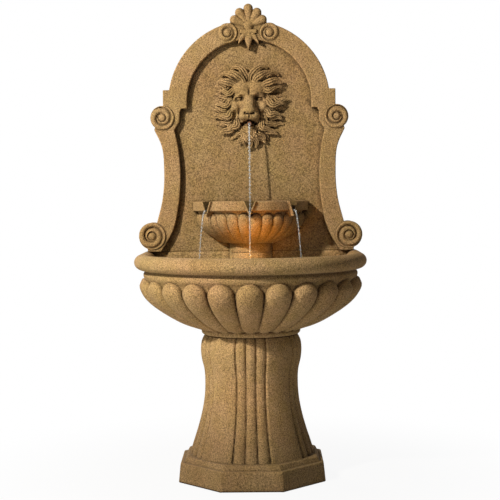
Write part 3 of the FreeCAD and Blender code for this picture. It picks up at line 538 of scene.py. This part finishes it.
def leaf(grid, top_x, spread, half_width, length):
    """Pointed drip leaf with a raised middle."""
    share = np.clip((crest_top - leaf_top - grid.z) / length, 0, 1)
    side = np.abs(grid.x - top_x - spread * share)
    width = half_width * np.sin(pi * (leaf_swell + (1 - leaf_swell) * share))
    height = leaf_proud * crown(np.clip(side / (width + leaf_point), 0, 1))
    end = np.abs(grid.z - crest_top + leaf_top + length / 2) - length / 2
    return shared(side - width, end, frame_y - height - grid.y)


def crest_field(grid):
    y, z = grid.y, grid.z - crest_top
    behind = y - frame_y - crest_rear
    bar = shared(np.abs(grid.x) - bar_half, np.abs(z + bar_drop) - bar_half_height)
    field = inside_both(bar, shared(frame_y - bar_proud - y, behind), bar_edge)
    for angle, length in zip(petal_angles, petal_lengths):
        field = merged(field, petal(grid, angle, length))
    hub = np.sqrt(grid.x**2 + (z + hub_drop) ** 2 + (y - frame_y - hub_sink) ** 2) - hub_radius
    field = joined(field, hub, crest_blend)
    x, drop, radius, eye, turn = crest_volute
    scroll = volute(grid, x, crest_top - drop, radius, eye, turn)
    field = joined(field, shared(scroll, behind), crest_blend)
    for leaf_row in leaf_rows:
        field = joined(field, leaf(grid, *leaf_row), leaf_blend)
    return field


def backplate_field(grid):
    y, height = grid.y, grid.z - plate_z
    outer = outline_distance(plate_outline(), grid.x, height)
    sunk = outline_distance(field_outline(), grid.x, height)
    field = inside_both(outer, panel_y - y, plate_edge)
    field = merged(field, inside_both(shared(outer, -sunk), frame_y - y, plate_edge), crest_field(grid))
    for x, rise, radius, eye, turn in (low_volute, high_volute):
        field = merged(field, volute(grid, x, plate_z + rise, radius, eye, turn))
    return shared(field, -spout_bore(grid), -rear_channel(grid), y - back_y, -height)


# Lion mask, modelled as clay: places are (across, up, out) from the middle of its back
# each blob or cut: its middle, its half width, height and depth, and how softly it blends in
mane_base = ((0, 8, 0), (86, 102, 8), 3)
face_blobs = {
    "skull": ((0, 40, 0), (58, 58, 36), 2),
    "jaw": ((0, -24, 2), (30, 32, 20), 8),
    "nose_root": ((0, 46, 26), (16, 18, 18), 6),
    "nose_bridge": ((0, 24, 33), (12, 30, 21), 4),
    "muzzle": ((0, -7, 20), (31, 28, 35), 4),
    "nose_tip": ((0, 1, 42), (20, 12, 17), 4),
    "lower_lip": ((0, -51, 10), (19, 6, 22), 3),
    "chin": ((0, -60, 8), (17, 12, 22), 5),
}
paired_blobs = {
    "cheek": ((44, 16, 5), (18, 26, 27), 7),
    "forehead": ((22, 72, 14), (33, 24, 24), 9),
    "inner_brow": ((16, 54, 26), (14, 9, 16), 5),
    "nose_side": ((7, 22, 33), (11, 26, 20), 4),
    "pad": ((17, -17, 25), (17, 14, 27), 4),
    "jowl": ((23, -30, 6), (11, 14, 22), 4),
    "sideburn": ((43, -16, 2), (15, 22, 17), 4),
}
face_cuts = {
    "furrow": ((0, 64, 43), (3, 15, 11), 5),
    "lip_groove": ((0, -21, 54), (2, 9, 10), 3),
    "mouth": ((0, -32, 34), (8, 5, 30), 2),
}
paired_cuts = {
    "outer_socket": ((38, 37, 40), (13, 9, 23), 3),
    "inner_socket": ((26, 40, 42), (11, 11, 26), 3),
    "nostril": ((14, -8, 55), (4.5, 4, 11), 2),
    "nose_edge": ((9, -11, 60), (12, 3, 15), 2),
    "mouth_side": ((10, -36, 34), (9, 4.5, 30), 2),
    "mouth_corner": ((20, -41, 30), (8, 5, 26), 2),
    "whisker_side": ((45, -13, 32), (8, 15, 19), 6),
}
eye_blobs = {
    "eyeball": ((32, 38, 10), (11, 7, 12), 1),
    "upper_lid": ((33, 46, 17), (15, 3.5, 10), 2),
    "lower_lid": ((34, 29, 15), (14, 4, 9), 2),
}
# rows of locks on each side: count, angles of the first and last from the top, half width and height of the
# oval of roots, length, heights out at root, middle and tip, and half width
lock_rows = [
    {"count": 9, "angles": (48, 162), "oval": (71, 84),
     "length": 56, "heights": (9, 16, 10), "half_width": 10.5},
    {"count": 8, "angles": (46, 152), "oval": (56, 69),
     "length": 58, "heights": (18, 27, 14), "half_width": 9.5},
]
lock_middle = 22
# headings from straight up at a lock's root and near its tip, by the angle of the root from the top
root_angles = (40, 60, 90, 120, 156)
root_headings = (75, 100, 115, 135, 165)
tip_headings = (105, 100, 105, 118, 150)
lock_sway = 45.0
sway_waves = 1.25
lock_stagger = 6.0
tip_hook = 55.0
hook_from = 0.7
# shares of a lock's length with shares of its half width
lock_shape = ((0, 0.7), (0.35, 1.0), (0.75, 0.65), (1, 0.24))
# hair swept up and out from a parting above the forehead, for each side, then the beard
fringe_locks = [
    {"root": (44, 80), "headings": (45, 115), "length": 66},
    {"root": (31, 88), "headings": (15, 122), "length": 78},
    {"root": (18, 93), "headings": (20, 110), "length": 66},
    {"root": (7, 95), "headings": (-12, 120), "length": 82},
]
fringe_heights = (24, 33, 16)
fringe_half_width = 10.0
fringe_sway = 15.0
beard_locks = [
    {"root": (-25, -50), "headings": (170, 340), "length": 84, "side": -1},
    {"root": (-11, -60), "headings": (175, 160), "length": 62, "side": -1},
    {"root": (1, -62), "headings": (180, 175), "length": 74, "side": 1},
    {"root": (13, -60), "headings": (175, 150), "length": 68, "side": 1},
    {"root": (27, -50), "headings": (165, 130), "length": 68, "side": 1},
]
beard_heights = (20, 27, 10)
beard_half_width = 9.5
lock_points = 14
# shares of a lock's length that its root, middle and tip heights stand for
height_shares = (0, 0.45, 1)
lock_blend = 1.4
strand_places = (-0.8, 0.0, 0.8)
strand_width = 0.37
strand_sink = 0.4
mane_seed = 5
# bounds of the uneven part of a lock's angle, headings, length and width, and of where its sway starts
angle_spread = (-3, 3)
root_spread = (-8, 8)
tip_spread = (-12, 12)
size_spread = (0.85, 1.15)
sway_spread = (-0.4, 0.4)
fringe_length_spread = (0.9, 1.08)
fringe_sway_spread = (-0.5, 0.5)
beard_sway_spread = (0, 1)


class Clay:
    """Field that grows by adding and cutting shapes, each worked out only in a window round itself."""

    def __init__(self, grid):
        self.grid = grid
        self.field = np.full(grid.shape, FIELD_REACH * grid.step, dtype=np.float32)

    def window(self, low, high):
        """Part of the grid between two corners, with its points as across, up and out."""
        corners = zip(self.grid.low, (low[0], panel_y - high[2], mask_z + low[1]),
                      (high[0], panel_y - low[2], mask_z + high[1]))
        cuts = []
        for origin, start, end in corners:
            first = int((start - origin) / self.grid.step) - WINDOW_MARGIN
            last = int((end - origin) / self.grid.step) + WINDOW_MARGIN
            cuts.append(slice(max(first, 0), max(last, 0) + 1))
        across = self.grid.x[cuts[0]]
        up = self.grid.z[:, :, cuts[2]] - mask_z
        out = panel_y - self.grid.y[:, cuts[1]]
        return tuple(cuts), across, up, out

    def add(self, place, shape, blend):
        self.field[place] = joined(self.field[place], shape, blend)

    def cut(self, place, shape, blend):
        self.field[place] = -joined(-self.field[place], shape, blend)

    def blob(self, middle, half, blend, change):
        """Ellipsoid, added or cut away."""
        middle, half = np.array(middle), np.array(half)
        place, *points = self.window(middle - half - blend, middle + half + blend)
        shares = [(axis - centre) / reach for axis, centre, reach in zip(points, middle, half)]
        size = np.sqrt(sum(share * share for share in shares))
        slope = np.sqrt(sum((share / reach) ** 2 for share, reach in zip(shares, half)))
        change(place, size * (size - 1) / np.maximum(slope, LEAST_SLOPE), blend)

    def strand(self, path, heights, widths):
        """Tapering round strand along a path."""
        room = widths.max() + lock_blend
        low = (path[:, 0].min() - room, path[:, 1].min() - room, heights.min() - room)
        high = (path[:, 0].max() + room, path[:, 1].max() + room, heights.max() + room)
        place, across, up, out = self.window(low, high)
        field = np.full(np.broadcast(across, up, out).shape, room, dtype=np.float32)
        for i in range(len(path) - 1):
            beside, share = from_line(across, up, path[i], path[i + 1])
            height = heights[i] + (heights[i + 1] - heights[i]) * share
            width = widths[i] + (widths[i + 1] - widths[i]) * share
            field = merged(field, np.hypot(beside, out - height) - width)
        self.add(place, field, lock_blend)

    def lock(self, path, heights, half_width, lift=0.0):
        """Lock of hair: strands side by side that close up towards the tip."""
        share = np.linspace(0, 1, lock_points)
        heights = np.interp(share, height_shares, heights) + lift
        half_widths = half_width * np.interp(share, *zip(*lock_shape))
        along = np.gradient(path, axis=0)
        across = np.stack([along[:, 1], -along[:, 0]], axis=1) / np.linalg.norm(along, axis=1)[:, None]
        for position in strand_places:
            shifted = path + across * (position * half_widths)[:, None]
            sunk = strand_sink * half_widths * abs(position)
            self.strand(shifted, heights - sunk, strand_width * half_widths)


def lock_path(root, length, headings, sway, hook, side, phase):
    """Points along a lock that sways from one heading to another and hooks up at its tip."""
    points = [np.array(root, dtype=float)]
    for share in np.linspace(0, 1, lock_points - 1):
        heading = headings[0] + (headings[1] - headings[0]) * share
        heading += sway * sin(2 * pi * sway_waves * share + phase)
        heading -= hook * max(share - hook_from, 0) / (1 - hook_from)
        turn = radians(heading)
        points.append(points[-1] + length / (lock_points - 1) * np.array((side * sin(turn), cos(turn))))
    return np.array(points)


def add_mane(clay):
    """Two rows of locks round the face, the fringe above it and the beard below it."""
    chance = np.random.RandomState(mane_seed)
    for row in lock_rows:
        for side in (-1, 1):
            for i, angle in enumerate(np.linspace(*row["angles"], row["count"])):
                angle += chance.uniform(*angle_spread)
                root = (side * row["oval"][0] * sin(radians(angle)),
                        lock_middle + row["oval"][1] * cos(radians(angle)))
                headings = (np.interp(angle, root_angles, root_headings) + chance.uniform(*root_spread),
                            np.interp(angle, root_angles, tip_headings) + chance.uniform(*tip_spread))
                length = row["length"] * chance.uniform(*size_spread)
                phase = chance.uniform(*sway_spread)
                path = lock_path(root, length, headings, lock_sway, tip_hook, side, phase)
                half_width = row["half_width"] * chance.uniform(*size_spread)
                clay.lock(path, row["heights"], half_width, lock_stagger * (-1) ** i)
    for i, fringe in enumerate(fringe_locks):
        for side in (-1, 1):
            across, up = fringe["root"]
            length = fringe["length"] * chance.uniform(*fringe_length_spread)
            phase = chance.uniform(*fringe_sway_spread)
            path = lock_path((side * across, up), length, fringe["headings"], fringe_sway, 0, side, phase)
            clay.lock(path, fringe_heights, fringe_half_width, lock_stagger * (-1) ** i)
    for beard in beard_locks:
        phase = chance.uniform(*beard_sway_spread)
        side, headings = beard["side"], beard["headings"]
        path = lock_path(beard["root"], beard["length"], headings, lock_sway, 0, side, phase)
        clay.lock(path, beard_heights, beard_half_width)


def model(clay, blobs, sides, change):
    for middle, half, blend in blobs.values():
        for side in sides:
            clay.blob((side * middle[0], *middle[1:]), half, blend, change)


def lion_field(grid):
    clay = Clay(grid)
    clay.blob(*mane_base, clay.add)
    add_mane(clay)
    model(clay, face_blobs, (1,), clay.add)
    model(clay, paired_blobs, (-1, 1), clay.add)
    model(clay, paired_cuts, (-1, 1), clay.cut)
    model(clay, eye_blobs, (-1, 1), clay.add)
    model(clay, face_cuts, (1,), clay.cut)
    return shared(clay.field, -spout_bore(grid), grid.y - panel_y)


# Materials


class Nodes:
    """A node tree with short ways to add and join its nodes."""

    def __init__(self, tree):
        self.tree = tree

    def give(self, node, inputs):
        """Joins inputs of a node to sockets, or sets them to plain values."""
        for key, value in inputs.items():
            if isinstance(value, bpy.types.NodeSocket):
                self.tree.links.new(value, node.inputs[key])
            else:
                node.inputs[key].default_value = value

    def node(self, kind, inputs=None, **settings):
        node = self.tree.nodes.new("ShaderNode" + kind)
        for key, value in settings.items():
            setattr(node, key, value)
        self.give(node, inputs or {})
        return node

    def noise(self, scale, detail=4.0, roughness=0.6):
        """Noise in the piece's own space; scale is in cycles per metre."""
        place = self.node("TexCoord").outputs["Object"]
        inputs = {"Vector": place, "Scale": scale, "Detail": detail, "Roughness": roughness}
        return self.node("TexNoise", inputs).outputs["Fac"]

    def ramp(self, source, stops):
        """Colour ramp from positions and colours."""
        node = self.node("ValToRGB", {"Fac": source})
        elements = node.color_ramp.elements
        while len(elements) < len(stops):
            elements.new(0.5)
        for element, (position, colour) in zip(elements, stops):
            element.position = position
            element.color = (*colour, 1.0)
        return node.outputs["Color"]

    def fade(self, source, start, end, lowest=0.0):
        """Smooth rise from the lowest value to 1 while the source goes from start to end."""
        inputs = {"Value": source, "From Min": start, "From Max": end, "To Min": lowest}
        return self.node("MapRange", inputs, interpolation_type="SMOOTHSTEP").outputs["Result"]

    def mix(self, blend, amount, first, second):
        inputs = {"Factor": amount, "A": first, "B": second}
        return self.node("Mix", inputs, data_type="RGBA", blend_type=blend).outputs["Result"]

    def bump(self, height, strength, distance, below=None):
        inputs = {"Height": height, "Strength": strength, "Distance": distance}
        if below is not None:
            inputs["Normal"] = below
        return self.node("Bump", inputs).outputs["Normal"]


finishes = {}


class Shading(Nodes):
    """Nodes of a new material, which is kept in finishes by its name."""

    def __init__(self, name):
        material = bpy.data.materials.new(name)
        material.use_nodes = True
        finishes[name] = material
        super().__init__(material.node_tree)
        self.shader = self.tree.nodes["Principled BSDF"]

    def shade(self, inputs):
        self.give(self.shader, inputs)


def grey(value):
    return (value, value, value)


# Stone: stops of its ramps, and what its tone is multiplied by in creases (painted shade), on worn edges, in
# hollows and near other parts (painted shade with some dirt) and in water
mottle_stops = [(0.35, (0.40, 0.228, 0.100)), (0.65, (0.42, 0.285, 0.115))]
blush_stops = [(0.4, (0.37, 0.235, 0.088)), (0.62, (0.48, 0.305, 0.150))]
blush_share = 0.45
speck_stops = [(0.3, grey(0.40)), (0.5, grey(0.98)), (0.7, grey(1.56))]
flat_face = 0.5
flat_stops = [(0.495, grey(0.95)), (0.52, grey(1.0))]
crease_shade_tone, edge_tone = 0.28, 1.25
crease_shade_and_wear_share = 0.85
painted_shade_tone, half_shade_tone = (0.16, 0.13, 0.10), grey(0.85)
shade_fade, unshaded_from = 0.35, 0.9
wet_tone = (0.30, 0.29, 0.22)
# Darker stone near the floor, between these heights in metres
darkening_from, darkening_to = 0.07, 0.30
foot_tone = 0.55


def foot_darkening(made):
    """Tone by height: darker stone round the foot."""
    place = made.node("TexCoord").outputs["Object"]
    height = made.node("SeparateXYZ", {"Vector": place}).outputs["Z"]
    return made.ramp(made.fade(height, darkening_from, darkening_to), [(0.0, grey(foot_tone)), (1.0, grey(1.0))])


def cast_stone(name, recess, edge, shade_reach, shade_start):
    """Sandy cast stone: mottled tan, coarse grain, painted shade in creases and hollows, with some dirt, and
    pale on worn edges.
    """
    made = Shading(name)
    mottle = made.ramp(made.noise(scale=5.0, detail=5.0), mottle_stops)
    blush = made.ramp(made.noise(scale=17.0, detail=3.0), blush_stops)
    tone = made.mix("MIX", blush_share, mottle, blush)
    grain = made.noise(scale=303.0, detail=2.0, roughness=0.5)
    specks = made.ramp(grain, speck_stops)
    shape = made.node("NewGeometry").outputs["Pointiness"]
    # painted shade in concave creases, and pale wear on convex edges
    crease_shade_and_wear = made.ramp(shape, [(flat_face - recess, grey(crease_shade_tone)), *flat_stops,
                             (flat_face + edge, grey(edge_tone))])
    # painted shade, with some dirt, darkening hollows and stone near other parts, found by ambient occlusion
    hollow = made.node("AmbientOcclusion", {"Distance": shade_reach}, samples=8).outputs["AO"]
    painted_shade = made.ramp(hollow, [(shade_start, painted_shade_tone), (shade_start + shade_fade, half_shade_tone),
                              (unshaded_from, grey(1.0))])
    wet_mark = made.node("Attribute", attribute_name="wet").outputs["Fac"]
    wet = made.ramp(wet_mark, [(0.0, grey(1.0)), (1.0, wet_tone)])
    layers = [(specks, 1.0), (crease_shade_and_wear, crease_shade_and_wear_share), (painted_shade, 1.0), (foot_darkening(made), 1.0), (wet, 1.0)]
    for layer, amount in layers:
        tone = made.mix("MULTIPLY", amount, tone, layer)
    lumps = made.bump(made.noise(scale=60.0, detail=3.0), strength=0.35, distance=0.0025)
    made.shade({
        "Base Color": tone,
        "Roughness": 0.92,
        "Specular IOR Level": 0.25,
        "Normal": made.bump(grain, strength=0.8, distance=0.0022, below=lumps),
    })


def speckled(name, colour, spread, roughness, metallic=0.0, scale=300.0, bump=0.1):
    """Plain moulded or metal surface with a fine uneven tone."""
    made = Shading(name)
    low = tuple(value * (1 - spread) for value in colour)
    high = tuple(min(value * (1 + spread), 1.0) for value in colour)
    grain = made.noise(scale)
    made.shade({
        "Base Color": made.ramp(grain, [(0.3, low), (0.7, high)]),
        "Roughness": roughness,
        "Metallic": metallic,
        "Normal": made.bump(grain, bump, distance=0.0004),
    })


clear_shade = 0.93
lens_glow = (1.0, 0.55, 0.16, 1.0)


def clear(name, colour, roughness, ior, glow=0.0):
    """Clear lens or tube, which may glow."""
    made = Shading(name)
    shade = tuple(value * clear_shade for value in colour)
    if glow:
        made.shade({"Emission Color": lens_glow, "Emission Strength": glow})
    made.shade({
        "Base Color": made.ramp(made.noise(scale=60.0), [(0.2, shade), (0.8, colour)]),
        "Roughness": roughness,
        "IOR": ior,
        "Transmission Weight": 1.0,
    })


def water(name, foam):
    """Clear water with small ripples; foam from 0 to 1 makes it whiter."""
    made = Shading(name)
    ripple = made.noise(scale=40.0, detail=2.0)
    made.shade({
        "Base Color": made.ramp(ripple, [(0.3, (0.88, 0.93, 0.94)), (0.7, (0.97, 0.99, 1.0))]),
        "Roughness": 0.04,
        "IOR": 1.33,
        "Transmission Weight": 1 - foam,
        "Normal": made.bump(ripple, strength=0.4, distance=0.003),
    })


# Finishes: after its colour, a speckled one has its spread and roughness, and a clear one its roughness
cast_stone("cast_stone", recess=0.06, edge=0.08, shade_reach=0.025, shade_start=0.3)
cast_stone("mask_stone", recess=0.04, edge=0.10, shade_reach=0.016, shade_start=0.4)
speckled("cover_plastic", (0.26, 0.18, 0.09), 0.12, 0.6)
speckled("fixing_steel", (0.55, 0.55, 0.53), 0.10, 0.3, metallic=1.0, scale=900.0)
speckled("spout_copper", (0.42, 0.19, 0.10), 0.25, 0.4, metallic=1.0)
clear("vinyl_tube", (0.90, 0.94, 0.94), 0.15, ior=1.45)
speckled("black_plastic", (0.020, 0.020, 0.022), 0.2, 0.5, scale=700.0)
speckled("dial_plastic", (0.03, 0.09, 0.22), 0.15, 0.45, scale=700.0)
speckled("black_rubber", (0.016, 0.016, 0.016), 0.25, 0.8, scale=500.0, bump=0.2)
speckled("magnet", (0.05, 0.05, 0.055), 0.2, 0.55)
speckled("impeller_plastic", (0.6, 0.6, 0.55), 0.05, 0.45)
speckled("shaft_ceramic", (0.75, 0.74, 0.70), 0.04, 0.2)
speckled("core_steel", (0.22, 0.22, 0.23), 0.15, 0.45, metallic=1.0)
speckled("coil_copper", (0.36, 0.12, 0.04), 0.2, 0.35, metallic=1.0, scale=1500.0)
speckled("lamp_metal", (0.022, 0.022, 0.024), 0.2, 0.4, scale=600.0)
clear("lamp_glass", (1.0, 0.86, 0.60), 0.05, ior=1.5, glow=1.5)
speckled("led_board", (0.7, 0.66, 0.5), 0.1, 0.5)
water("falling_water", foam=0.2)
water("still_water", foam=0.0)


# Pieces
wet_skin = 1.0
wet_line_z = 632.0
panel_stain = 0.2
mask_room = (12, 0, 12)


def stone_piece(node, field, step, adaptivity=0.0, room=(0, 0, 0), slot="cast_stone", body="fountain"):
    """Casting that stands for a solid, meshed from its field in the solid's box with some room."""
    low, high = box_mm(node)
    grid = Grid(np.subtract(low, room), np.add(high, room), step)
    piece = mesh_from_field(node + "_casting", grid, field(grid), adaptivity)
    piece.data.materials.append(finishes[slot])
    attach(piece, body)
    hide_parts(node)
    return piece


def darken(piece, place, amount):
    """Marks the points of a piece that lie in a place as darkened by water, from 0 to 1."""
    points = np.array([vertex.co for vertex in piece.data.vertices]) / METRE
    inside = place(*points.T) < wet_skin
    mark = piece.data.attributes.new("wet", "FLOAT", "POINT")
    mark.data.foreach_set("value", amount * inside.astype(np.float32))


def bowl_ways(x, y, z):
    return merged(bowl_hollow(x, y, z), notches(x, y, z))


def basin_water(x, y, z):
    return shared(basin_hollow(x, y, z), z - wet_line_z)


def sunk_panel(x, y, z):
    return np.abs(y - panel_y)


def dress_solids():
    """Gives each solid that stays the finish of its slot."""
    for part in frame["record"]["subparts"]:
        solid = frame["nodes"][part["node"]]
        for place in solid.material_slots:
            place.link = "OBJECT"
            place.material = finishes[part["material_slot"]]


dress_solids()
stone_piece("pedestal", pedestal_field, step=2.2, adaptivity=0.01)
basin = stone_piece("basin", basin_field, step=2.2, adaptivity=0.01)
darken(basin, basin_water, 1.0)
plate = stone_piece("backplate", backplate_field, step=1.8, adaptivity=0.02)
darken(plate, sunk_panel, panel_stain)
bowl = stone_piece("upper_bowl", upper_bowl_field, step=1.5, body="upper_bowl")
darken(bowl, bowl_ways, 1.0)
stone_piece("lion_mask", lion_field, step=1.1, room=mask_room, slot="mask_stone")


# Water: jets that fall freely, and the level surfaces that they fall on
gravity = 9810.0
bowl_level, basin_level = 819.0, 625.0
pool_depth = 3.0
pool_gap = 1.0
mouth_speed, mouth_radii = 130.0, (3.4, 2.2)
spill_speed, spill_radii = 150.0, (2.4, 1.6)
spill_overhang = 3.0
spill_edge = band_radius + beak_reach + spill_overhang
jet_rings, jet_sides = 150, 8
bead_length, bead_share = 12.0, 0.75
off_middle = 1.0


def water_piece(name, points, sides, finish, body):
    """Closed tube of water, whose points run round one ring after another."""
    last = len(points) - sides
    faces = [tuple(reversed(range(sides))), tuple(range(last, len(points)))]
    for ring in range(0, last, sides):
        for i in range(sides):
            j = (i + 1) % sides
            faces.append((ring + i, ring + j, ring + sides + j, ring + sides + i))
    piece = mesh_object(name, [tuple(METRE * value for value in point) for point in points], faces)
    piece.data.materials.append(finishes[finish])
    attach(piece, body)


def jet(name, body, edge, angle, lead, speed, end_z, radii):
    """Jet that runs level to an edge, then falls, thinning and beading; its angle is from straight ahead."""
    fall_time = sqrt(2 * (edge[2] - end_z) / gravity)
    ahead = np.array((sin(radians(angle)), -cos(radians(angle)), 0.0))
    side = np.array((-ahead[1], ahead[0], 0.0))
    points = []
    for time in np.linspace(-lead / speed, fall_time, jet_rings):
        falling = max(time, 0.0)
        middle = np.array(edge) + ahead * speed * time - np.array((0, 0, gravity * falling**2 / 2))
        along = ahead * speed - np.array((0, 0, gravity * falling))
        across = np.cross(along / np.linalg.norm(along), side)
        share = falling / fall_time
        bead = bead_share * share * sin(2 * pi * (edge[2] - middle[2]) / bead_length)
        radius = np.interp(share, (0, 1), radii) * (1 + bead)
        for turn in np.arange(jet_sides) * 2 * pi / jet_sides:
            points.append(middle + radius * (cos(turn) * side + sin(turn) * across))
    water_piece(name, points, jet_sides, "falling_water", body)


def pool(name, body, outline, level):
    """Thin layer of still water inside an outline."""
    points = [(x, y, z) for z in (level - pool_depth, level) for x, y in outline]
    water_piece(name, points, len(outline), "still_water", body)


def front_arc(centre_y, radius, first, last):
    """Points on the right of an arc, by angles from straight ahead."""
    angles = np.radians(np.linspace(first, last, curve_steps))
    return [(radius * sin(angle), centre_y - radius * cos(angle)) for angle in angles]


def bowl_outline():
    radius = through(bowl_hollow_profile, np.array(bowl_level - pool_depth)) - pool_gap
    last = np.degrees(np.arccos((bowl_back_wall + pool_gap) / radius))
    return both_sides(front_arc(bowl_y, radius, off_middle, last))


def basin_outline():
    """Follows the wall of the basin, and goes round the riser at the back."""
    radius = through(hollow_profile, np.array(basin_level)) - pool_gap
    back = panel_y - pool_gap
    front = front_arc(basin_y, radius, off_middle, 90.0)
    round_riser = front_arc(panel_y, neck_radius + pool_gap, off_middle, 90.0 - off_middle)
    return both_sides(front + [(radius, back)] + list(reversed(round_riser)))


mouth = (0.0, spout_low[1] - pool_gap, spout_z)
jet("mouth_jet", "fountain", mouth, angle=0.0, lead=0.0, speed=mouth_speed,
    end_z=bowl_level, radii=mouth_radii)
spill_lead = spill_edge - band_radius + bowl_back_wall
for side_name, beak_angle in zip(("left", "front", "right"), beak_angles):
    turn = radians(beak_angle)
    edge = (spill_edge * sin(turn), bowl_y - spill_edge * cos(turn), bowl_level)
    name = side_name + "_spill"
    jet(name, "upper_bowl", edge, beak_angle, spill_lead, spill_speed, basin_level, spill_radii)
pool("bowl_pool", "upper_bowl", bowl_outline(), bowl_level)
pool("basin_pool", "fountain", basin_outline(), basin_level)


# Stage: floor, light and camera
picture_side = 500
focal_pixels = 1180.0
sensor_width = 36.0
camera_distance = 3.57
camera_height = 0.86
camera_azimuth = radians(0.62)
camera_tilt = radians(2.57)
camera_roll = radians(0.61)
floor_half = 30.0
floor_tone = 0.6
floor_whiteness = 0.92
fade_from, fade_to = 0.3, 1.2
sky_strength = 0.09
warm_white, soft_white = (1.0, 0.95, 0.86), (1.0, 0.97, 0.92)
target = Vector((0.0, 0.1, 0.85))
key_from, key_distance = Vector((-0.585, -0.655, 0.48)), 2.8
soft_lights = {
    "key": {"place": target + key_from * key_distance, "aim": target,
            "power": 82.0, "colour": warm_white, "size": 0.15},
    "fill": {"place": Vector((-1.35, -1.45, 0.15)), "aim": Vector((0.0, 0.0, 0.55)),
             "power": 11.0, "colour": soft_white, "size": 1.2},
    "back": {"place": Vector((-1.8, 2.4, 2.2)), "aim": target,
             "power": 50.0, "colour": soft_white, "size": 1.0},
}
# light of the lamp in the basin on the upper bowl
glow = {"place": Vector((0.005, -0.04, 0.632)), "aim": Vector((0.015, 0.13, 0.76)),
        "power": 1.6, "colour": (1.0, 0.44, 0.06),
        "spot_size": radians(80.0), "spot_blend": 0.8, "shadow_soft_size": 0.02}


def add_camera():
    data = bpy.data.cameras.new("camera")
    data.sensor_width = sensor_width
    data.lens = focal_pixels / picture_side * sensor_width
    camera = scene_object("camera", data)
    ahead = camera_distance * cos(camera_azimuth)
    camera.location = (camera_distance * sin(camera_azimuth), -ahead, camera_height)
    aim = Matrix.Rotation(camera_azimuth, 3, "Z") @ Matrix.Rotation(pi / 2 - camera_tilt, 3, "X")
    camera.rotation_euler = (aim @ Matrix.Rotation(-camera_roll, 3, "Z")).to_euler()
    bpy.context.scene.camera = camera


def add_light(name, kind, place, aim, power, colour, **settings):
    data = bpy.data.lights.new(name, kind)
    data.energy = power
    data.color = colour
    for key, value in settings.items():
        setattr(data, key, value)
    lamp = scene_object(name, data)
    lamp.location = place
    lamp.rotation_euler = (aim - place).to_track_quat("-Z", "Y").to_euler()


def seen_directly(made):
    """One for rays that show the background: from the camera, in gloss and through glass."""
    rays = made.node("LightPath").outputs
    seen = rays["Is Camera Ray"]
    for name in ("Is Glossy Ray", "Is Transmission Ray"):
        seen = made.node("Math", {0: seen, 1: rays[name]}, operation="MAXIMUM").outputs[0]
    return seen


def add_world():
    world = bpy.data.worlds.new("studio")
    world.use_nodes = True
    made = Nodes(world.node_tree)
    light = made.tree.nodes["Background"]
    made.give(light, {"Color": (*soft_white, 1.0), "Strength": sky_strength})
    white = made.node("Background", {"Color": (1.0, 1.0, 1.0, 1.0)})
    mix = made.node("MixShader", {"Fac": seen_directly(made), 1: light.outputs[0], 2: white.outputs[0]})
    made.give(made.tree.nodes["World Output"], {"Surface": mix.outputs[0]})
    bpy.context.scene.world = world


def add_floor():
    """Pale floor that takes the shadow near the object and fades to the white of the background."""
    corners = [(x * floor_half, y * floor_half, 0) for x, y in ((-1, -1), (1, -1), (1, 1), (-1, 1))]
    floor = mesh_object("floor", corners, [(0, 1, 2, 3)])
    made = Shading("floor")
    place = made.node("NewGeometry").outputs["Position"]
    distance = made.node("VectorMath", {0: place}, operation="LENGTH").outputs["Value"]
    whiteness = made.fade(distance, fade_from, fade_to, floor_whiteness)
    show = made.node("Math", {0: seen_directly(made), 1: whiteness}, operation="MULTIPLY").outputs[0]
    white = made.node("Emission").outputs[0]
    mix = made.node("MixShader", {"Fac": show, 1: made.shader.outputs[0], 2: white})
    made.give(made.tree.nodes["Material Output"], {"Surface": mix.outputs[0]})
    made.shade({"Base Color": (*grey(floor_tone), 1.0), "Roughness": 1.0, "Specular IOR Level": 0.0})
    floor.data.materials.append(finishes["floor"])


add_camera()
add_world()
add_floor()
for name, light in soft_lights.items():
    add_light(name, "AREA", shape="DISK", **light)
add_light("glow", "SPOT", **glow)
bpy.context.scene.view_settings.view_transform = "Standard"
